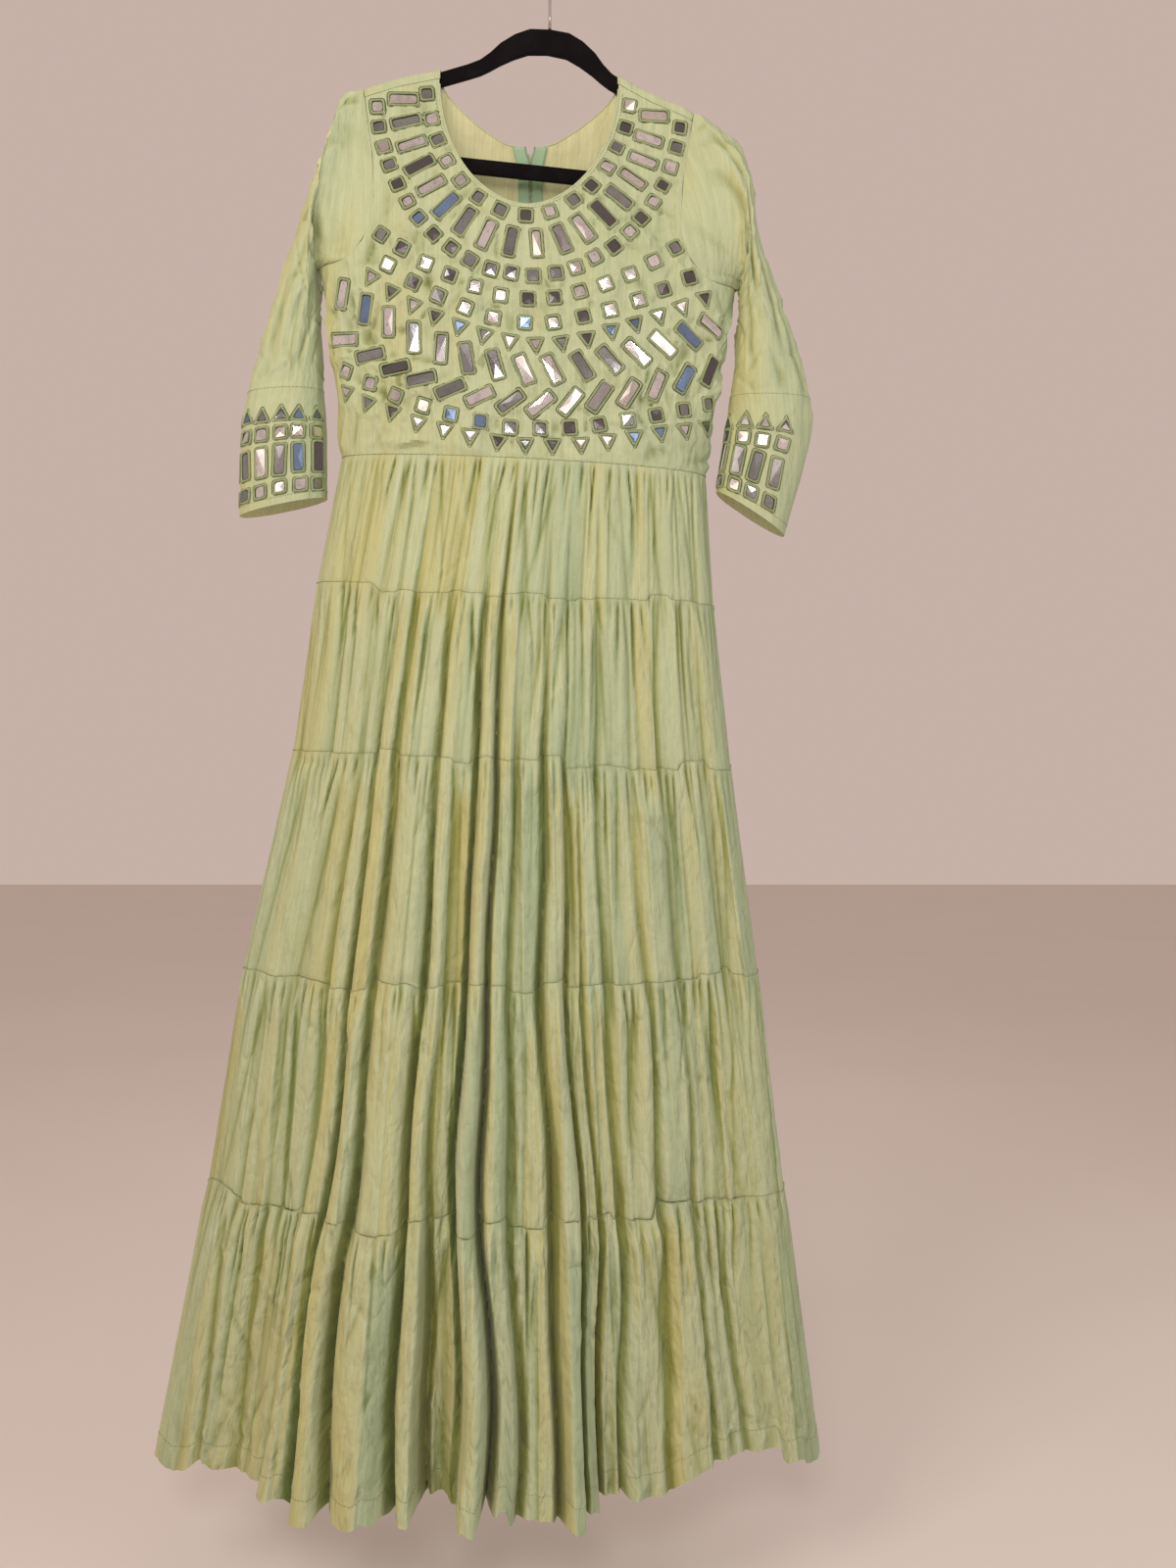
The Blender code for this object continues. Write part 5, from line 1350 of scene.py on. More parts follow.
def steel_finish():
    made = Finish("polished steel", {"Metallic": 1.0, "Roughness": 0.20})
    wear = made.speckle(160, 3, stretch=(1, 1, 0.2))
    made.show("Base Color", made.mixed(wear, (0.56, 0.56, 0.55), (0.70, 0.69, 0.67)))
    made.show("Roughness", 0.14 + wear * 0.16)
    return made.material


def tape_finish():
    made = Finish("zip tape", {"Roughness": 0.78, "Specular IOR Level": 0.2})
    flat = made.node("UVMap", {"uv_map": "cloth"})
    ribs = made.node("TexWave", {"wave_type": "BANDS", "bands_direction": "DIAGONAL"},
                     {"Vector": flat, "Scale": 330, "Distortion": 0.4})
    fade = made.noise(flat, 60)
    base = made.mixed(fade, (0.33, 0.49, 0.31), (0.40, 0.57, 0.38))
    made.show("Base Color", made.mixed(ribs * 0.35, base, (0.23, 0.36, 0.23)))
    made.bump(ribs, 0.0003, 0.5)
    return made.material


def enamel_finish():
    made = Finish("zip enamel", {"Roughness": 0.34, "Metallic": 0.35, "Coat Weight": 0.4})
    chips = made.speckle(700, 3)
    made.show("Base Color", made.mixed((chips - 0.55) * 4, (0.44, 0.50, 0.34), (0.60, 0.62, 0.52)))
    made.show("Roughness", 0.28 + chips * 0.2)
    return made.material


FINISHES = {}


def finish(name):
    """The material of that name, made when it is first wanted."""
    scene = bpy.context.scene
    if name not in FINISHES:
        cloth, mirrors = scene.gown_cloth, scene.gown_mirrors
        makers = {
            "cloth": lambda: cloth_finish(cloth, "gown cloth", cloth.colour, False),
            "inside": lambda: cloth_finish(cloth, "gown cloth inside with painted glow",
                                           cloth.inside_lit_colour, True),
            "seam": lambda: thread_finish("seam thread", cloth.seam_colour,
                                          (0.190, 0.215, 0.095)),
            "stitch": lambda: thread_finish("stitching", (0.36, 0.37, 0.18), (0.20, 0.21, 0.09)),
            "border": lambda: thread_finish("mirror border thread", mirrors.thread_colour,
                                            (0.235, 0.285, 0.135)),
            # Painted shade: the dark outlines laid at the borders' outer edges and round the glass.
            "outline": lambda: thread_finish("mirror outline painted shade", mirrors.outline_shade_colour,
                                             (0.045, 0.060, 0.022)),
            "glass": glass_finish,
            "velvet": lambda: velvet_finish(scene.gown_hanger.colour),
            "steel": steel_finish,
            "tape": tape_finish,
            "enamel": enamel_finish,
        }
        FINISHES[name] = makers[name]()
    return FINISHES[name]


# ---------------------------------------------------------------- stitched lines

STITCH_INPUTS = (
    ("Geometry", "Geometry", None), ("Cord radius", "Float", 0.001), ("Cord step", "Float", 0.002),
    ("Stitch step", "Float", 0.0015), ("Stitch length", "Float", 0.002),
    ("Stitch width", "Float", 0.0012), ("Stitch height", "Float", 0.0008), ("Slant", "Float", 0.0),
    ("Cord sides", "Int", 5), ("With cord", "Bool", True), ("With stitches", "Bool", True),
    ("Finish", "Material", None))


def stitch_tree():
    """Nodes that lay a cord, and stitches over it, along the edges of a mesh."""
    tree = bpy.data.node_groups.get("stitched line")
    if tree:
        return tree
    tree = bpy.data.node_groups.new("stitched line", "GeometryNodeTree")
    for name, kind, value in STITCH_INPUTS:
        socket = tree.interface.new_socket(name, in_out="INPUT", socket_type="NodeSocket" + kind)
        if value is not None:
            socket.default_value = value
    tree.interface.new_socket("Geometry", in_out="OUTPUT", socket_type="NodeSocketGeometry")

    def add(kind, settings=None, inputs=None):
        """The first output of a new node."""
        return next(iter(new_node(tree, kind, settings, inputs).outputs), None)

    given = add("NodeGroupInput").node.outputs
    line = add("GeometryNodeMeshToCurve", {}, {"Mesh": given["Geometry"]})
    smoothed = add("GeometryNodeResampleCurve", {"mode": "LENGTH"},
                   {"Curve": line, "Length": given["Cord step"]})
    ring = add("GeometryNodeCurvePrimitiveCircle", {"mode": "RADIUS"},
               {"Resolution": given["Cord sides"], "Radius": given["Cord radius"]})
    cord = add("GeometryNodeCurveToMesh", {}, {"Curve": smoothed, "Profile Curve": ring, "Fill Caps": True})
    cord = add("GeometryNodeSwitch", {"input_type": "GEOMETRY"},
               {"Switch": given["With cord"], "True": cord})
    spots = add("GeometryNodeCurveToPoints", {"mode": "LENGTH"},
                {"Curve": line, "Length": given["Stitch step"]})
    up = add("GeometryNodeInputNamedAttribute", {"data_type": "FLOAT_VECTOR"}, {"Name": "up"})
    aligned = add("FunctionNodeAlignRotationToVector", {"axis": "X"},
                  {"Vector": spots.node.outputs["Tangent"]})
    aligned = add("FunctionNodeAlignRotationToVector", {"axis": "Z", "pivot_axis": "X"},
                  {"Rotation": aligned, "Vector": up})
    index = add("GeometryNodeInputIndex")
    turn = add("ShaderNodeMath", {"operation": "FLOORED_MODULO"}, {0: index, 1: 2.0})
    turn = add("ShaderNodeMath", {"operation": "MULTIPLY_ADD"}, {0: turn, 1: 2.0, 2: -1.0})
    turn = add("ShaderNodeMath", {"operation": "MULTIPLY"}, {0: turn, 1: given["Slant"]})
    turn = add("ShaderNodeCombineXYZ", {}, {"Z": turn})
    turn = add("FunctionNodeEulerToRotation", {}, {"Euler": turn})
    aligned = add("FunctionNodeRotateRotation", {"rotation_space": "LOCAL"},
                  {"Rotation": aligned, "Rotate By": turn})
    size = add("ShaderNodeCombineXYZ", {}, {"X": given["Stitch length"],
                                            "Y": given["Stitch width"],
                                            "Z": given["Stitch height"]})
    stitch = add("GeometryNodeMeshUVSphere", {}, {"Segments": 4, "Rings": 3, "Radius": 0.5})
    laid = add("GeometryNodeInstanceOnPoints", {},
               {"Points": spots, "Instance": stitch, "Rotation": aligned, "Scale": size})
    laid = add("GeometryNodeSwitch", {"input_type": "GEOMETRY"},
               {"Switch": given["With stitches"], "True": laid})
    both = add("GeometryNodeJoinGeometry", {}, {"Geometry": [laid, cord]})
    real = add("GeometryNodeRealizeInstances", {}, {"Geometry": both})
    even = add("GeometryNodeSetShadeSmooth", {}, {"Geometry": real})
    painted = add("GeometryNodeSetMaterial", {}, {"Geometry": even, "Material": given["Finish"]})
    add("NodeGroupOutput", {}, {"Geometry": painted})
    return tree


def stitched(name, lines, material, cord=(), stitch=(), slant=0.0, sides=5):
    """A piece of thread along lines, each a list of points, of ups and whether it is closed.

    cord is its radius and step, and stitch its step, length, width and height.
    """
    points, ups, edges = [], [], []
    for line, up, closed in lines:
        start, count = len(points), len(line)
        points += [tuple(p) for p in line]
        ups += [tuple(u) for u in np.broadcast_to(up, (count, 3))]
        edges += [(start + i, start + (i + 1) % count) for i in range(count - (not closed))]
    mesh = bpy.data.meshes.new(name)
    mesh.from_pydata(points, edges, [])
    layer = mesh.attributes.new("up", "FLOAT_VECTOR", "POINT")
    layer.data.foreach_set("vector", np.array(ups, np.float32).ravel())
    made = linked(name, mesh)
    step = made.modifiers.new("stitched line", "NODES")
    step.node_group = stitch_tree()
    sizes = {"With cord": bool(cord), "With stitches": bool(stitch), "Slant": slant,
             "Cord sides": sides, "Finish": material,
             **dict(zip(("Cord radius", "Cord step"), cord)),
             **dict(zip(("Stitch step", "Stitch length", "Stitch width", "Stitch height"), stitch))}
    for item in step.node_group.interface.items_tree:
        if item.in_out == "INPUT" and item.name in sizes:
            step[item.identifier] = sizes[item.name]
    return keep(applied(made))


def hit_finder(made):
    """Casts points from a little above a shell onto its outer face."""
    points, faces = mesh_parts(made.data)
    tree = BVHTree.FromPolygons(points.tolist(), faces)

    def onto(spots, ways, lift, reach=0.008):
        found, ups = [], []
        for spot, way in zip(np.atleast_2d(spots), np.broadcast_to(ways, np.shape(spots))):
            hit, normal = tree.ray_cast(Vector(spot + way * reach), Vector(-way), 2.5 * reach)[:2]
            if hit is None:
                hit, normal = Vector(spot), Vector(way)
            if normal.dot(Vector(way)) < 0.2:
                normal = Vector(way)
            found.append(np.array(hit) + np.array(way) * lift)
            ups.append(np.array(normal))
        return np.array(found), np.array(ups)

    return onto


def rounded(corners, radius, steps=3):
    """A closed outline with its corners rounded off."""
    out = []
    for before, here, after in zip(np.roll(corners, 1, 0), corners, np.roll(corners, -1, 0)):
        a, b = here + unit(before - here) * radius, here + unit(after - here) * radius
        for t in np.linspace(0, 1, steps):
            out.append((1 - t) ** 2 * a + 2 * t * (1 - t) * here + t ** 2 * b)
    return np.array(out)


def drawn_in(corners, inset):
    """A convex outline moved in by an inset."""
    lines = []
    for here, after in zip(corners, np.roll(corners, -1, 0)):
        run = after - here
        lines.append((here + unit(np.array([-run[1], run[0]])) * inset, run))
    out = []
    for i, (q, s) in enumerate(lines):
        p, r = lines[i - 1]
        t = ((q - p)[0] * s[1] - (q - p)[1] * s[0]) / (r[0] * s[1] - r[1] * s[0])
        out.append(p + r * t)
    return np.array(out)


def anticlockwise(corners):
    x, y = corners.T
    return corners if (x * np.roll(y, -1) - y * np.roll(x, -1)).sum() > 0 else corners[::-1]


def mirror_set(word, spots, onto, seed):
    """Glass and borders for mirrors, each given as kind, centre, axes across and up, and normal. The
    glass's colour is a painted reflection, and the dark outlines round each border and glass are painted
    shade.
    """
    settings = bpy.context.scene.gown_mirrors
    dice = np.random.default_rng(seed)
    lines, outlines, points, faces, shown = [], [], [], [], []
    for kind, centre, across, lift, normal in spots:
        grow = MIRROR_GROW + dice.normal(0, 0.025)
        spin = dice.normal(0, 0.055)
        centre = centre + dice.normal(0, 0.0005) * across + dice.normal(0, 0.0005) * lift
        c, s = math.cos(spin) * grow, math.sin(spin) * grow
        corners = anticlockwise(np.array(MOTIFS[kind], float)) @ np.array([[c, s], [-s, c]])
        axes = np.array([across, lift])
        # The border's cord, then two dark outlines that are painted shade: one at its outer edge and one at
        # the glass's edge.
        for laid, edge, above in (
                (lines, drawn_in(corners, CORD_INSET), settings.cord_radius * 0.45),
                (outlines, corners, 0.0001),
                (outlines, drawn_in(corners, GLASS_INSET - 0.0001), 0.0007)):
            laid.append((*onto(centre + rounded(edge, CORNER_ROUND) @ axes, normal, above), True))
        glass = rounded(drawn_in(corners, GLASS_INSET), GLASS_ROUND)
        under = np.vstack([glass * by for by in (1, 0.66, 0.33, 0)])
        height = (onto(centre + under @ axes, normal, 0)[0] - centre) @ normal
        slope = np.linalg.lstsq(np.column_stack([under, np.ones(len(under))]), height, rcond=None)[0]
        tilt = slope[:2] + dice.normal(0, math.sin(settings.tilt), 2) * 0.012 / np.ptp(glass, 0)
        plane = glass @ tilt + (height - under @ tilt).max() + GLASS_LIFT
        start, size = len(points), len(glass)
        flat = centre + glass @ axes
        points += [*(flat + np.outer(plane - GLASS_DEEP, normal)),
                   *(flat + np.outer(plane, normal)),
                   centre + normal * (plane.mean() + GLASS_DOME)]
        after = [(k + 1) % size for k in range(size)]
        faces += [(start + k, start + n, start + size + n, start + size + k) for k, n in enumerate(after)]
        faces += [(start + size + k, start + size + n, start + 2 * size) for k, n in enumerate(after)]
        faces.append(tuple(start + k for k in range(size))[::-1])
        # Painted reflection: a colour for what the mirror reflects, picked at random.
        roll = dice.random()
        tint = next(np.array(t) for share, t in PAINTED_MIRROR_REFLECTIONS if roll <= share)
        shown += [tint * dice.uniform(0.8, 1.2)] * (2 * size + 1)
    keep(mesh_object("mirrors_" + word, points, faces, finish("glass"),
                     {"shown": np.clip(shown, 0, 1)}, smooth_shade=False))
    stitched("mirror_borders_" + word, lines, finish("border"), cord=(settings.cord_radius, 0.0027),
             stitch=(0.0022, 0.0029, 0.0013, 0.0029), slant=1.20)
    stitched("mirror_outlines_" + word, outlines, finish("outline"), cord=(0.00042, 0.0029), sides=3)


# ---------------------------------------------------------------- sizes and colours

def size(name, value, words, **more):
    return FloatProperty(name=name, description=words, default=value, subtype="DISTANCE",
                         unit="LENGTH", precision=4, **more)


def colour(name, value, words):
    return FloatVectorProperty(name=name, description=words, default=value, subtype="COLOR",
                               size=3, min=0, max=1)


class GownCloth(bpy.types.PropertyGroup):
    """The gown's cloth and its sewing."""
    colour: colour("Cloth", (0.472, 0.526, 0.322), "Colour of the cloth facing the front")
    # The warm and cool colours are painted light and shade by which way the cloth leans, mixed with random
    # tone.
    warm_colour: colour("Warm shade", (0.475, 0.458, 0.190), "Shade of folds that lean left")
    cool_colour: colour("Cool shade", (0.325, 0.420, 0.255), "Shade of folds that lean right")
    fold_colour: colour("Fold shade", (0.50, 0.53, 0.28), "What the hollows are darkened by")
    # Painted light: the inner side is lighter than the outer cloth, as if lit, and it glows in this colour.
    inside_lit_colour: colour("Inside", (0.545, 0.530, 0.300), "Colour of the cloth's inner side")
    seam_colour: colour("Seam thread", (0.340, 0.375, 0.190), "Thread of the tier seams")
    thickness: size("Thickness", 0.0009, "Thickness of the cloth", min=0.0003, max=0.002)
    stitch: size("Stitch", 0.0029, "Length of a seam's stitches", min=0.001, max=0.006)


class GownMirrors(bpy.types.PropertyGroup):
    """The mirrors and their borders."""
    thread_colour: colour("Border thread", (0.400, 0.470, 0.250), "Light border thread")
    outline_shade_colour: colour("Painted shade round borders", (0.078, 0.108, 0.045), "Painted shade round borders")
    cord_radius: size("Border radius", 0.00105, "Radius of the padded border", min=0.0004, max=0.002)
    tilt: FloatProperty(name="Tilt", description="How unevenly the mirrors are sewn on",
                        default=math.radians(4.0), subtype="ANGLE", unit="ROTATION")


class GownHanger(bpy.types.PropertyGroup):
    """The hanger."""
    colour: colour("Velvet", (0.006, 0.005, 0.006), "Colour of the velvet")
    wire: size("Hook radius", WIRE, "Radius of the hook's wire", min=0.001, max=0.002)
    edge: size("Edge", 0.0012, "Rounding of the hanger's edges", min=0.0002, max=0.002)


class GownStage(bpy.types.PropertyGroup):
    """Lights and floor."""
    key_power: FloatProperty(name="Key light", description="Power of the light at the upper left",
                             default=18.0, subtype="POWER", unit="POWER", min=0)
    fill_power: FloatProperty(name="Fill light", description="Power of the light at the right",
                              default=7.0, subtype="POWER", unit="POWER", min=0)
    room_colour: colour("Room", (0.66, 0.515, 0.455), "Colour of the room's light")
    room_strength: FloatProperty(name="Room light", description="Strength of the room's light",
                                 default=0.86, min=0)
    floor_height: size("Floor", -1.62, "Height of the floor under the hook")


# ---------------------------------------------------------------- operators

MADE = {}


class GOWN_OT_skirt(bpy.types.Operator):
    """Makes the five gathered tiers of the skirt"""
    bl_idname = "gown.skirt"
    bl_label = "Skirt tiers"

    def execute(self, context):
        for tier in range(5):
            MADE["tier", tier] = skirt_tier_shell(tier)
        return {"FINISHED"}


class GOWN_OT_bodice(bpy.types.Operator):
    """Makes the front panel and the two halves of the back"""
    bl_idname = "gown.bodice"
    bl_label = "Bodice"

    def execute(self, context):
        MADE["motifs"] = front_mirrors()
        MADE["front"] = bodice_front_shell(MADE["motifs"])
        for side_x, word in SIDES:
            MADE["back", side_x] = bodice_back_shell(side_x, word)
        return {"FINISHED"}


class GOWN_OT_sleeves(bpy.types.Operator):
    """Makes both sleeves"""
    bl_idname = "gown.sleeves"
    bl_label = "Sleeves"

    def execute(self, context):
        for side_x, word in SIDES:
            MADE["sleeve", side_x] = sleeve_shell(side_x, word)
        return {"FINISHED"}


class GOWN_OT_mirrors(bpy.types.Operator):
    """Sews the mirrors on the bodice and the cuffs"""
    bl_idname = "gown.mirrors"
    bl_label = "Mirror work"

    def execute(self, context):
        spots = []
        for kind, centre, angle in MADE["motifs"]:
            places = []
            for du, dv in ((0, 0), (0.003, 0), (0, 0.003)):
                u = centre[0] + du * math.cos(angle) - dv * math.sin(angle)
                v = centre[1] + du * math.sin(angle) + dv * math.cos(angle)
                places.append(on_bodice(to_lateral(u, v, FRONT), v, FRONT))
            across, lift = unit(places[1] - places[0]), unit(places[2] - places[0])
            spots.append((kind, places[0], across, lift, unit(np.cross(across, lift))))
        mirror_set("bodice", spots, hit_finder(MADE["front"]), SEED + 71)
        for side_x, word in SIDES:
            rows, _, _, shell = MADE["sleeve", side_x]
            mirror_set("cuff_" + word, cuff_mirrors(rows, side_x), hit_finder(shell), SEED + 80 + side_x)
        return {"FINISHED"}


def sewn_row(points, normals, row, above):
    """A closed line of thread along a row of a shell, a little above its face."""
    return points[row] + normals[row] * above, normals[row], True


class GOWN_OT_sewing(bpy.types.Operator):
    """Lays the threads of the seams, hems and neckline"""
    bl_idname = "gown.sewing"
    bl_label = "Sewing"

    def execute(self, context):
        stitch = context.scene.gown_cloth.stitch
        seams = [sewn_row(*MADE["tier", tier], 0, 0.0004) for tier in range(5)]
        stitched("seam_threads", seams, finish("seam"),
                 stitch=(stitch, stitch * 1.1, 0.0006, 0.0008), slant=0.12)
        points, normals = MADE["tier", 4]
        heights = points[:, :, 2] - points[-1:, :, 2]
        row = int(np.argmin(np.abs(heights.mean(axis=1) - HEM_TURN)))
        stitched("hem_stitches", [sewn_row(points, normals, row, 0.0002)], finish("stitch"),
                 stitch=(stitch * 1.25, stitch, 0.0007, 0.0008))
        fine = (stitch * 1.2, stitch, 0.0006, 0.0007)
        curve = neck_curve(160, NECK_FRONT_Z - NECK_STITCHED, NECK_ROUND, SHOULDER_SEAM + 0.002)
        curve[:, 0] = GOWN_X + (curve[:, 0] - GOWN_X) * (1 + NECK_STITCHED / NECK_HALF)
        spots, ways = on_front_view(*curve.T, FRONT)
        line = hit_finder(MADE["front"])(spots[4:-4], ways[4:-4], 0.0002)
        stitched("neckline_stitches", [(*line, False)], finish("stitch"), stitch=fine)
        curve = neck_curve(160, NECK_FRONT_Z - 0.0006, NECK_ROUND, SHOULDER_SEAM + 0.001)
        spots, ways = on_front_view(*curve.T, FRONT)
        piping = [(spots[2:-2] - ways[2:-2] * 0.0004, ways[2:-2], False)]
        for side_x, _ in SIDES:
            points, normals, _ = MADE["back", side_x]
            piping.append((points[:60, 0] - normals[:60, 0] * 0.0004, normals[:60, 0], False))
        stitched("neck_piping", piping, finish("cloth"), cord=(0.0011, 0.002),
                 stitch=(0.004, 0.0035, 0.0012, 0.0018))
        cuffs = [sewn_row(*MADE["sleeve", side_x][1:3], row, 0.0002)
                 for side_x, _ in SIDES for row in (-2, -24)]
        stitched("cuff_stitches", cuffs, finish("stitch"), stitch=fine)
        return {"FINISHED"}


class GOWN_OT_zip(bpy.types.Operator):
    """Makes the zip's tapes and teeth, and paints its slider and pull"""
    bl_idname = "gown.zip"
    bl_label = "Zip"

    def execute(self, context):
        points, faces, teeth = [], [], []

        def lay(grid):
            faces.extend(grid_faces(*grid.shape[:2]) + len(points))
            points.extend(grid.reshape(-1, 3))

        for side_x, word in SIDES:
            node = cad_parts["zip_tape_" + word]
            low, high = (np.array(corner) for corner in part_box(node.name))
            top = high[2] - 0.0004
            x = np.linspace(low[0] + 0.0002, high[0] - 0.0002, 9)
            z = np.linspace(top, low[2] + 0.0004, 120)
            grid = spread(x[None, :], low[1], z[:, None])
            seats, _ = hit_finder(node)(grid.reshape(-1, 3), INWARDS, 0, reach=0.05)
            seats = seats.reshape(grid.shape)
            lay(seats)
            flare = np.linspace(1, 0, 14)
            x = GOWN_X + side_x * np.linspace(0.0003 + 0.0036 * smooth((flare - 0.50) / 0.5),
                                              0.0116 + 0.0058 * flare ** 1.5, 6, axis=1)
            z = top + flare * (NECK_BACK_Z - high[2] + 0.0045)
            lean = (seats[0, 4, 1] - seats[12, 4, 1]) / (seats[0, 4, 2] - seats[12, 4, 2])
            y = seats[0, 4, 1] + lean * (z - seats[0, 4, 2])
            flap = spread(x[:, ::side_x], y[:, None], z[:, None])
            on_back = hit_finder(MADE["back", side_x][2])
            hits, _ = on_back(flap.reshape(-1, 3), INWARDS, 0.0004)
            flap[..., 1] = np.minimum(hits[:, 1].reshape(flap.shape[:2]), flap[..., 1])
            lay(flap)
            edge = -1 if side_x < 0 else 0
            inner = np.vstack([flap[:-1, edge], seats[:, edge]])
            teeth.append((inner + (side_x * 0.0006, -0.0009, 0), INWARDS, False))
        tape = mesh_object("zip_tapes", points, faces, finish("tape"), {}, np.array(points)[:, [0, 2]])
        keep(thickened(tape, 0.0006), nodes=["zip_tape_left", "zip_tape_right"])
        stitched("zip_teeth", teeth, finish("enamel"),
                 stitch=(0.0016, 0.0010, 0.0026, 0.0016))
        for name in ("zip_slider", "zip_pull"):
            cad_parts[name].data.materials[0] = finish("enamel")
        return {"FINISHED"}


def hanger_shapes():
    """Outline of the hanger's plate and of its opening, in its own plane."""
    top = [(o, -d) for o, d in zip(ARM["out"], ARM["drop"])]
    under = [(o * ARM_TAPER, -d - h) for o, d, h in zip(ARM["out"], ARM["drop"], ARM["height"])]
    halves = (top + [(o, -d) for o, d in TIP_OUTSIDE], under[:-1] + [(o, -d) for o, d in TIP_INSIDE])
    return [[turned(o, h) for o, h in half] + [turned(-o, h) for o, h in reversed(half[1:])]
            for half in halves]


def velvet_plate(sizes):
    """The hanger's flat body, with its edges rounded."""
    plate = bpy.data.curves.new("hanger_velvet", "CURVE")
    plate.dimensions, plate.fill_mode = "2D", "BOTH"
    plate.extrude = HANGER_THICK / 2 - sizes.edge
    plate.bevel_depth, plate.bevel_resolution, plate.offset = sizes.edge, 3, -sizes.edge
    for ring in hanger_shapes():
        ring = rounded(np.array(ring), 0.0012)
        spline = plate.splines.new("POLY")
        spline.points.add(len(ring) - 1)
        spline.points.foreach_set("co", [v for x, z in ring for v in (x, z, 0, 1)])
        spline.use_cyclic_u = True
    made = linked("hanger_velvet", plate)
    mesh = bpy.data.meshes.new_from_object(made.evaluated_get(bpy.context.evaluated_depsgraph_get()))
    bpy.data.objects.remove(made)
    flat, faces = mesh_parts(mesh)
    bpy.data.meshes.remove(mesh)
    made = turned_out(mesh_object("hanger_velvet", flat[:, (0, 2, 1)] * (1, -1, 1), faces,
                                  finish("velvet"), smooth_shade=False))
    made.data.shade_smooth()
    made.data.set_sharp_from_angle(angle=math.radians(40))
    return made


def hook_route():
    """Middle of the hook's wire, as x and z: up from the hanger, through its bend and round."""
    turn = HOOK_INSIDE + WIRE
    bend = turn * math.cos(HOOK_BEND) / (1 - math.cos(HOOK_BEND))
    start = -HOOK_INSIDE - (turn + bend) * math.sin(HOOK_BEND)
    route = [(0.0, HANGER_TOP + 0.0005), (0.0, (HANGER_TOP + start) / 2)]
    route += [(bend * (1 - math.cos(a)), start + bend * math.sin(a)) for a in np.linspace(0, HOOK_BEND, 12)]
    route += [(turn * math.cos(a), -HOOK_INSIDE + turn * math.sin(a))
              for a in np.linspace(-HOOK_BEND, math.radians(215), 64)[1:]]
    return np.array(route)


class GOWN_OT_hanger(bpy.types.Operator):
    """Makes the velvet hanger and its hook"""
    bl_idname = "gown.hanger"
    bl_label = "Hanger"

    def execute(self, context):
        sizes = context.scene.gown_hanger
        keep(velvet_plate(sizes), nodes=["hanger"])
        route = hook_route()
        along = unit(np.gradient(route, axis=0))
        sides = 20
        turn = np.linspace(0, 2 * math.pi, sides, endpoint=False)
        rings = [np.stack([x + az * sizes.wire * np.cos(turn), sizes.wire * np.sin(turn),
                           z - ax * sizes.wire * np.cos(turn)], axis=1)
                 for (x, z), (ax, az) in zip(route, along)]
        middle = rings[-1].mean(axis=0)
        end = middle + np.array([along[-1, 0], 0, along[-1, 1]]) * sizes.wire * 0.6
        rings.append((rings[-1] - middle) * 0.6 + end)
        faces = [tuple(face) for face in grid_faces(len(rings), sides, True)]
        count = len(rings) * sides
        faces += [tuple(range(sides))[::-1], tuple(range(count - sides, count))]
        hook = mesh_object("hook_wire", np.vstack(rings), faces, finish("steel"))
        keep(turned_out(hook), nodes=["hanger_hook"])
        return {"FINISHED"}


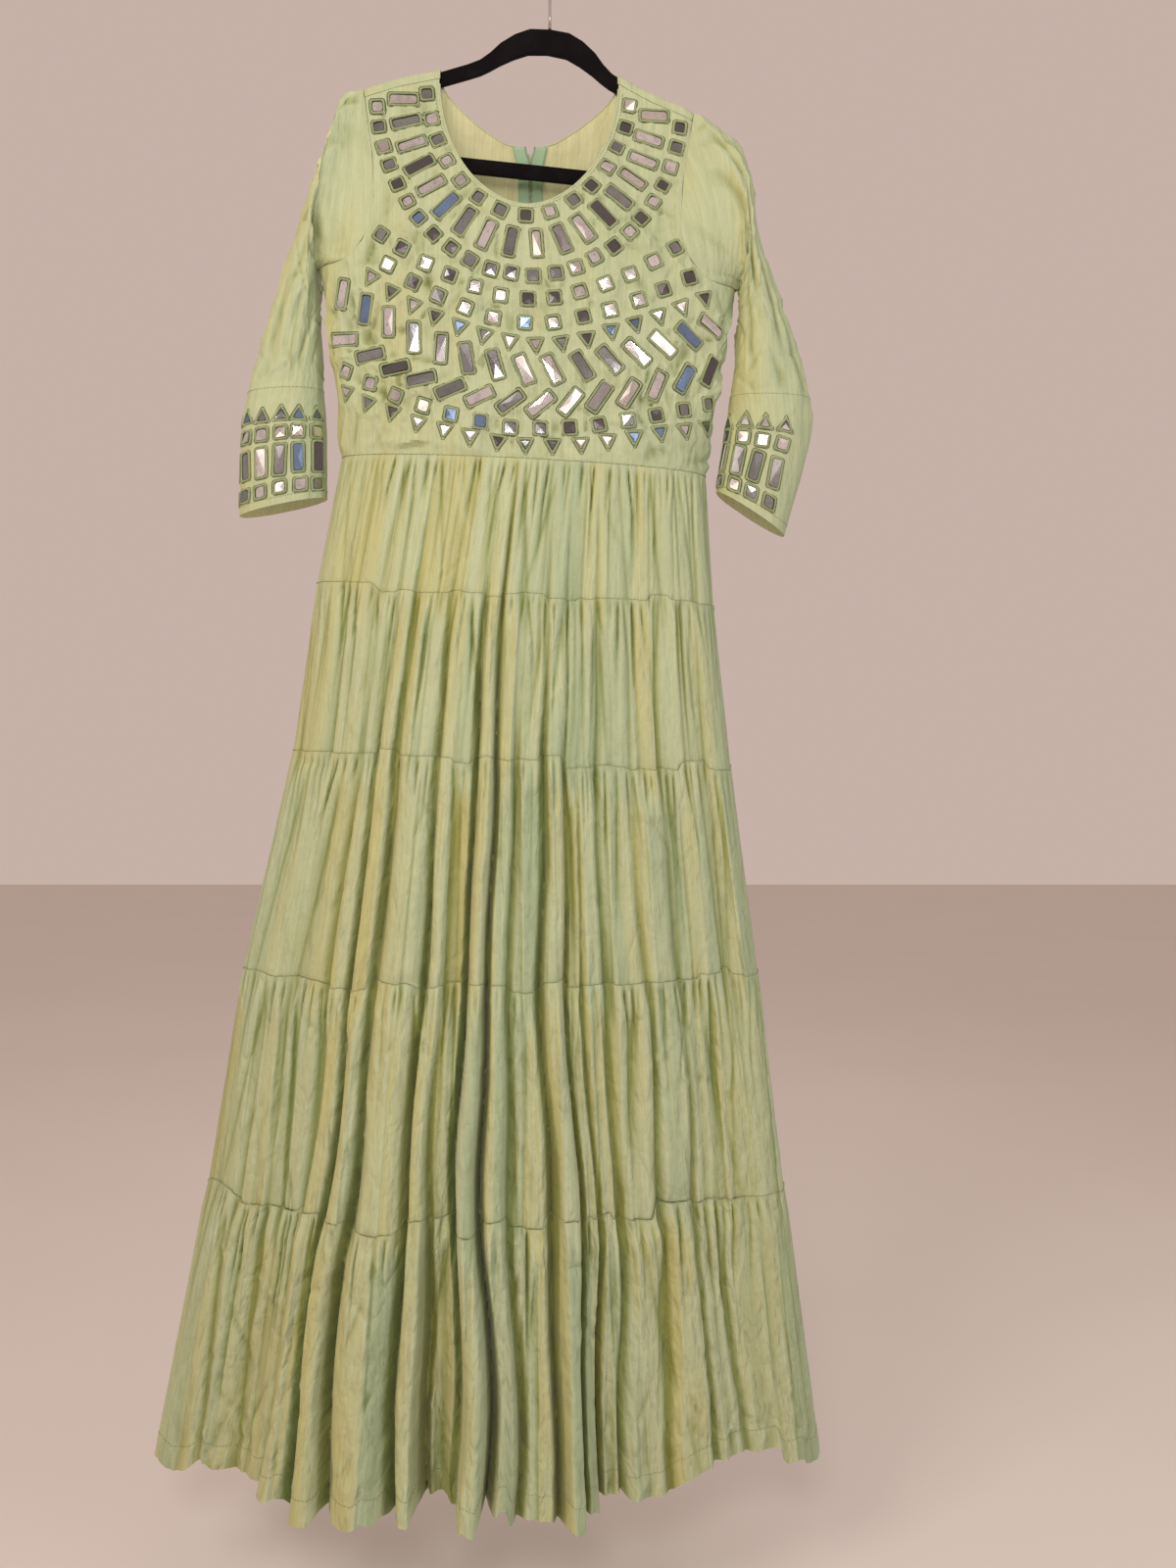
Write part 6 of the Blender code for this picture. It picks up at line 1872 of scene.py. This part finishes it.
class GOWN_OT_stage(bpy.types.Operator):
    """Sets the floor, the lights and the camera"""
    bl_idname = "gown.stage"
    bl_label = "Stage"

    def execute(self, context):
        scene, sizes = context.scene, context.scene.gown_stage
        ground = Finish("pale floor", {"Roughness": 0.85, "Specular IOR Level": 0.2})
        tone = ground.speckle(2.5, 3)
        ground.show("Base Color", ground.mixed(tone, (0.72, 0.665, 0.63), (0.76, 0.705, 0.67)))
        z = sizes.floor_height
        floor = mesh_object("floor", [(-6, -6, z), (6, -6, z), (6, 6, z), (-6, 6, z)],
                            [(0, 1, 2, 3)], ground.material, smooth_shade=False)
        lights = (("key", sizes.key_power, 1.0, (-1.15, -1.55, 0.65), (1.0, 0.945, 0.86)),
                  ("front", sizes.fill_power * 1.45, 0.4, (-0.05, -1.7, -0.16), (1.0, 0.95, 0.88)),
                  ("fill", sizes.fill_power, 1.2, (1.7, -1.0, -0.3), (0.86, 0.93, 1.0)),
                  ("rim", sizes.fill_power * 0.8, 0.8, (0.5, 1.6, 0.5), (1.0, 0.96, 0.92)),
                  ("glint left", 1.2, 0.13, (-0.62, -1.7, 0.28), (1.0, 0.97, 0.93)),
                  ("glint middle", 1.2, 0.13, (0.14, -1.8, 0.10), (1.0, 0.97, 0.93)),
                  ("glint right", 1.2, 0.13, (0.72, -1.5, 0.22), (1.0, 0.97, 0.93)),
                  ("glint wall left", 0.95, 0.50, (-0.80, -1.6, -0.05), (1.0, 0.82, 0.74)),
                  ("glint wall middle", 0.95, 0.50, (-0.15, -1.9, 0.55), (1.0, 0.84, 0.77)),
                  ("glint wall right", 0.95, 0.50, (0.62, -1.7, -0.20), (1.0, 0.82, 0.74)))
        for name, power, width, spot, tint in lights:
            lamp = bpy.data.lights.new(name, "AREA")
            lamp.energy, lamp.size, lamp.color = power, width, tint
            made = bpy.data.objects.new(name, lamp)
            made.location = spot
            aim = Vector((-0.03, 0, -0.60)) - Vector(spot)
            made.rotation_euler = aim.to_track_quat("-Z", "Y").to_euler()
            made.visible_glossy = name.startswith("glint")
            made.visible_diffuse = not made.visible_glossy
            scene.collection.objects.link(made)
        world = bpy.data.worlds.new("room")
        scene.world = world
        world.use_nodes = True
        back = world.node_tree.nodes["Background"]
        back.inputs["Color"].default_value = (*sizes.room_colour, 1)
        back.inputs["Strength"].default_value = sizes.room_strength
        lens = bpy.data.cameras.new("camera")
        lens.lens, lens.sensor_width, lens.dof.use_dof = 30.375, 36, False
        lens.clip_start = 0.01
        eye = bpy.data.objects.new("camera", lens)
        eye.location = (0.0369, -1.3095, -0.7422)
        eye.rotation_euler = (math.radians(87.5), 0, 0)
        scene.collection.objects.link(eye)
        scene.camera = eye
        scene.view_settings.view_transform = "Standard"
        return {"FINISHED"}


GROUPS = {"gown_cloth": GownCloth, "gown_mirrors": GownMirrors, "gown_hanger": GownHanger,
          "gown_stage": GownStage}
OPERATORS = (GOWN_OT_skirt, GOWN_OT_bodice, GOWN_OT_sleeves, GOWN_OT_mirrors, GOWN_OT_sewing,
             GOWN_OT_zip, GOWN_OT_hanger, GOWN_OT_stage)


class GOWN_PT_parts(bpy.types.Panel):
    """The gown's pieces and their sizes"""
    bl_label = "Gown"
    bl_idname = "GOWN_PT_parts"
    bl_space_type = "VIEW_3D"
    bl_region_type = "UI"
    bl_category = "Gown"

    def draw(self, context):
        for operator in OPERATORS:
            self.layout.operator(operator.bl_idname)
        for name, group in GROUPS.items():
            box = self.layout.box()
            for key in group.__annotations__:
                box.prop(getattr(context.scene, name), key)


def register():
    for made in (*GROUPS.values(), *OPERATORS, GOWN_PT_parts):
        bpy.utils.register_class(made)
    for name, group in GROUPS.items():
        setattr(bpy.types.Scene, name, PointerProperty(type=group))


def unregister():
    for name in GROUPS:
        delattr(bpy.types.Scene, name)
    for made in reversed((*GROUPS.values(), *OPERATORS, GOWN_PT_parts)):
        bpy.utils.unregister_class(made)


def main():
    register()
    bpy.ops.gown.skirt()
    bpy.ops.gown.bodice()
    bpy.ops.gown.sleeves()
    bpy.ops.gown.mirrors()
    bpy.ops.gown.sewing()
    bpy.ops.gown.zip()
    bpy.ops.gown.hanger()
    bpy.ops.gown.stage()


if __name__ == "__main__":
    main()
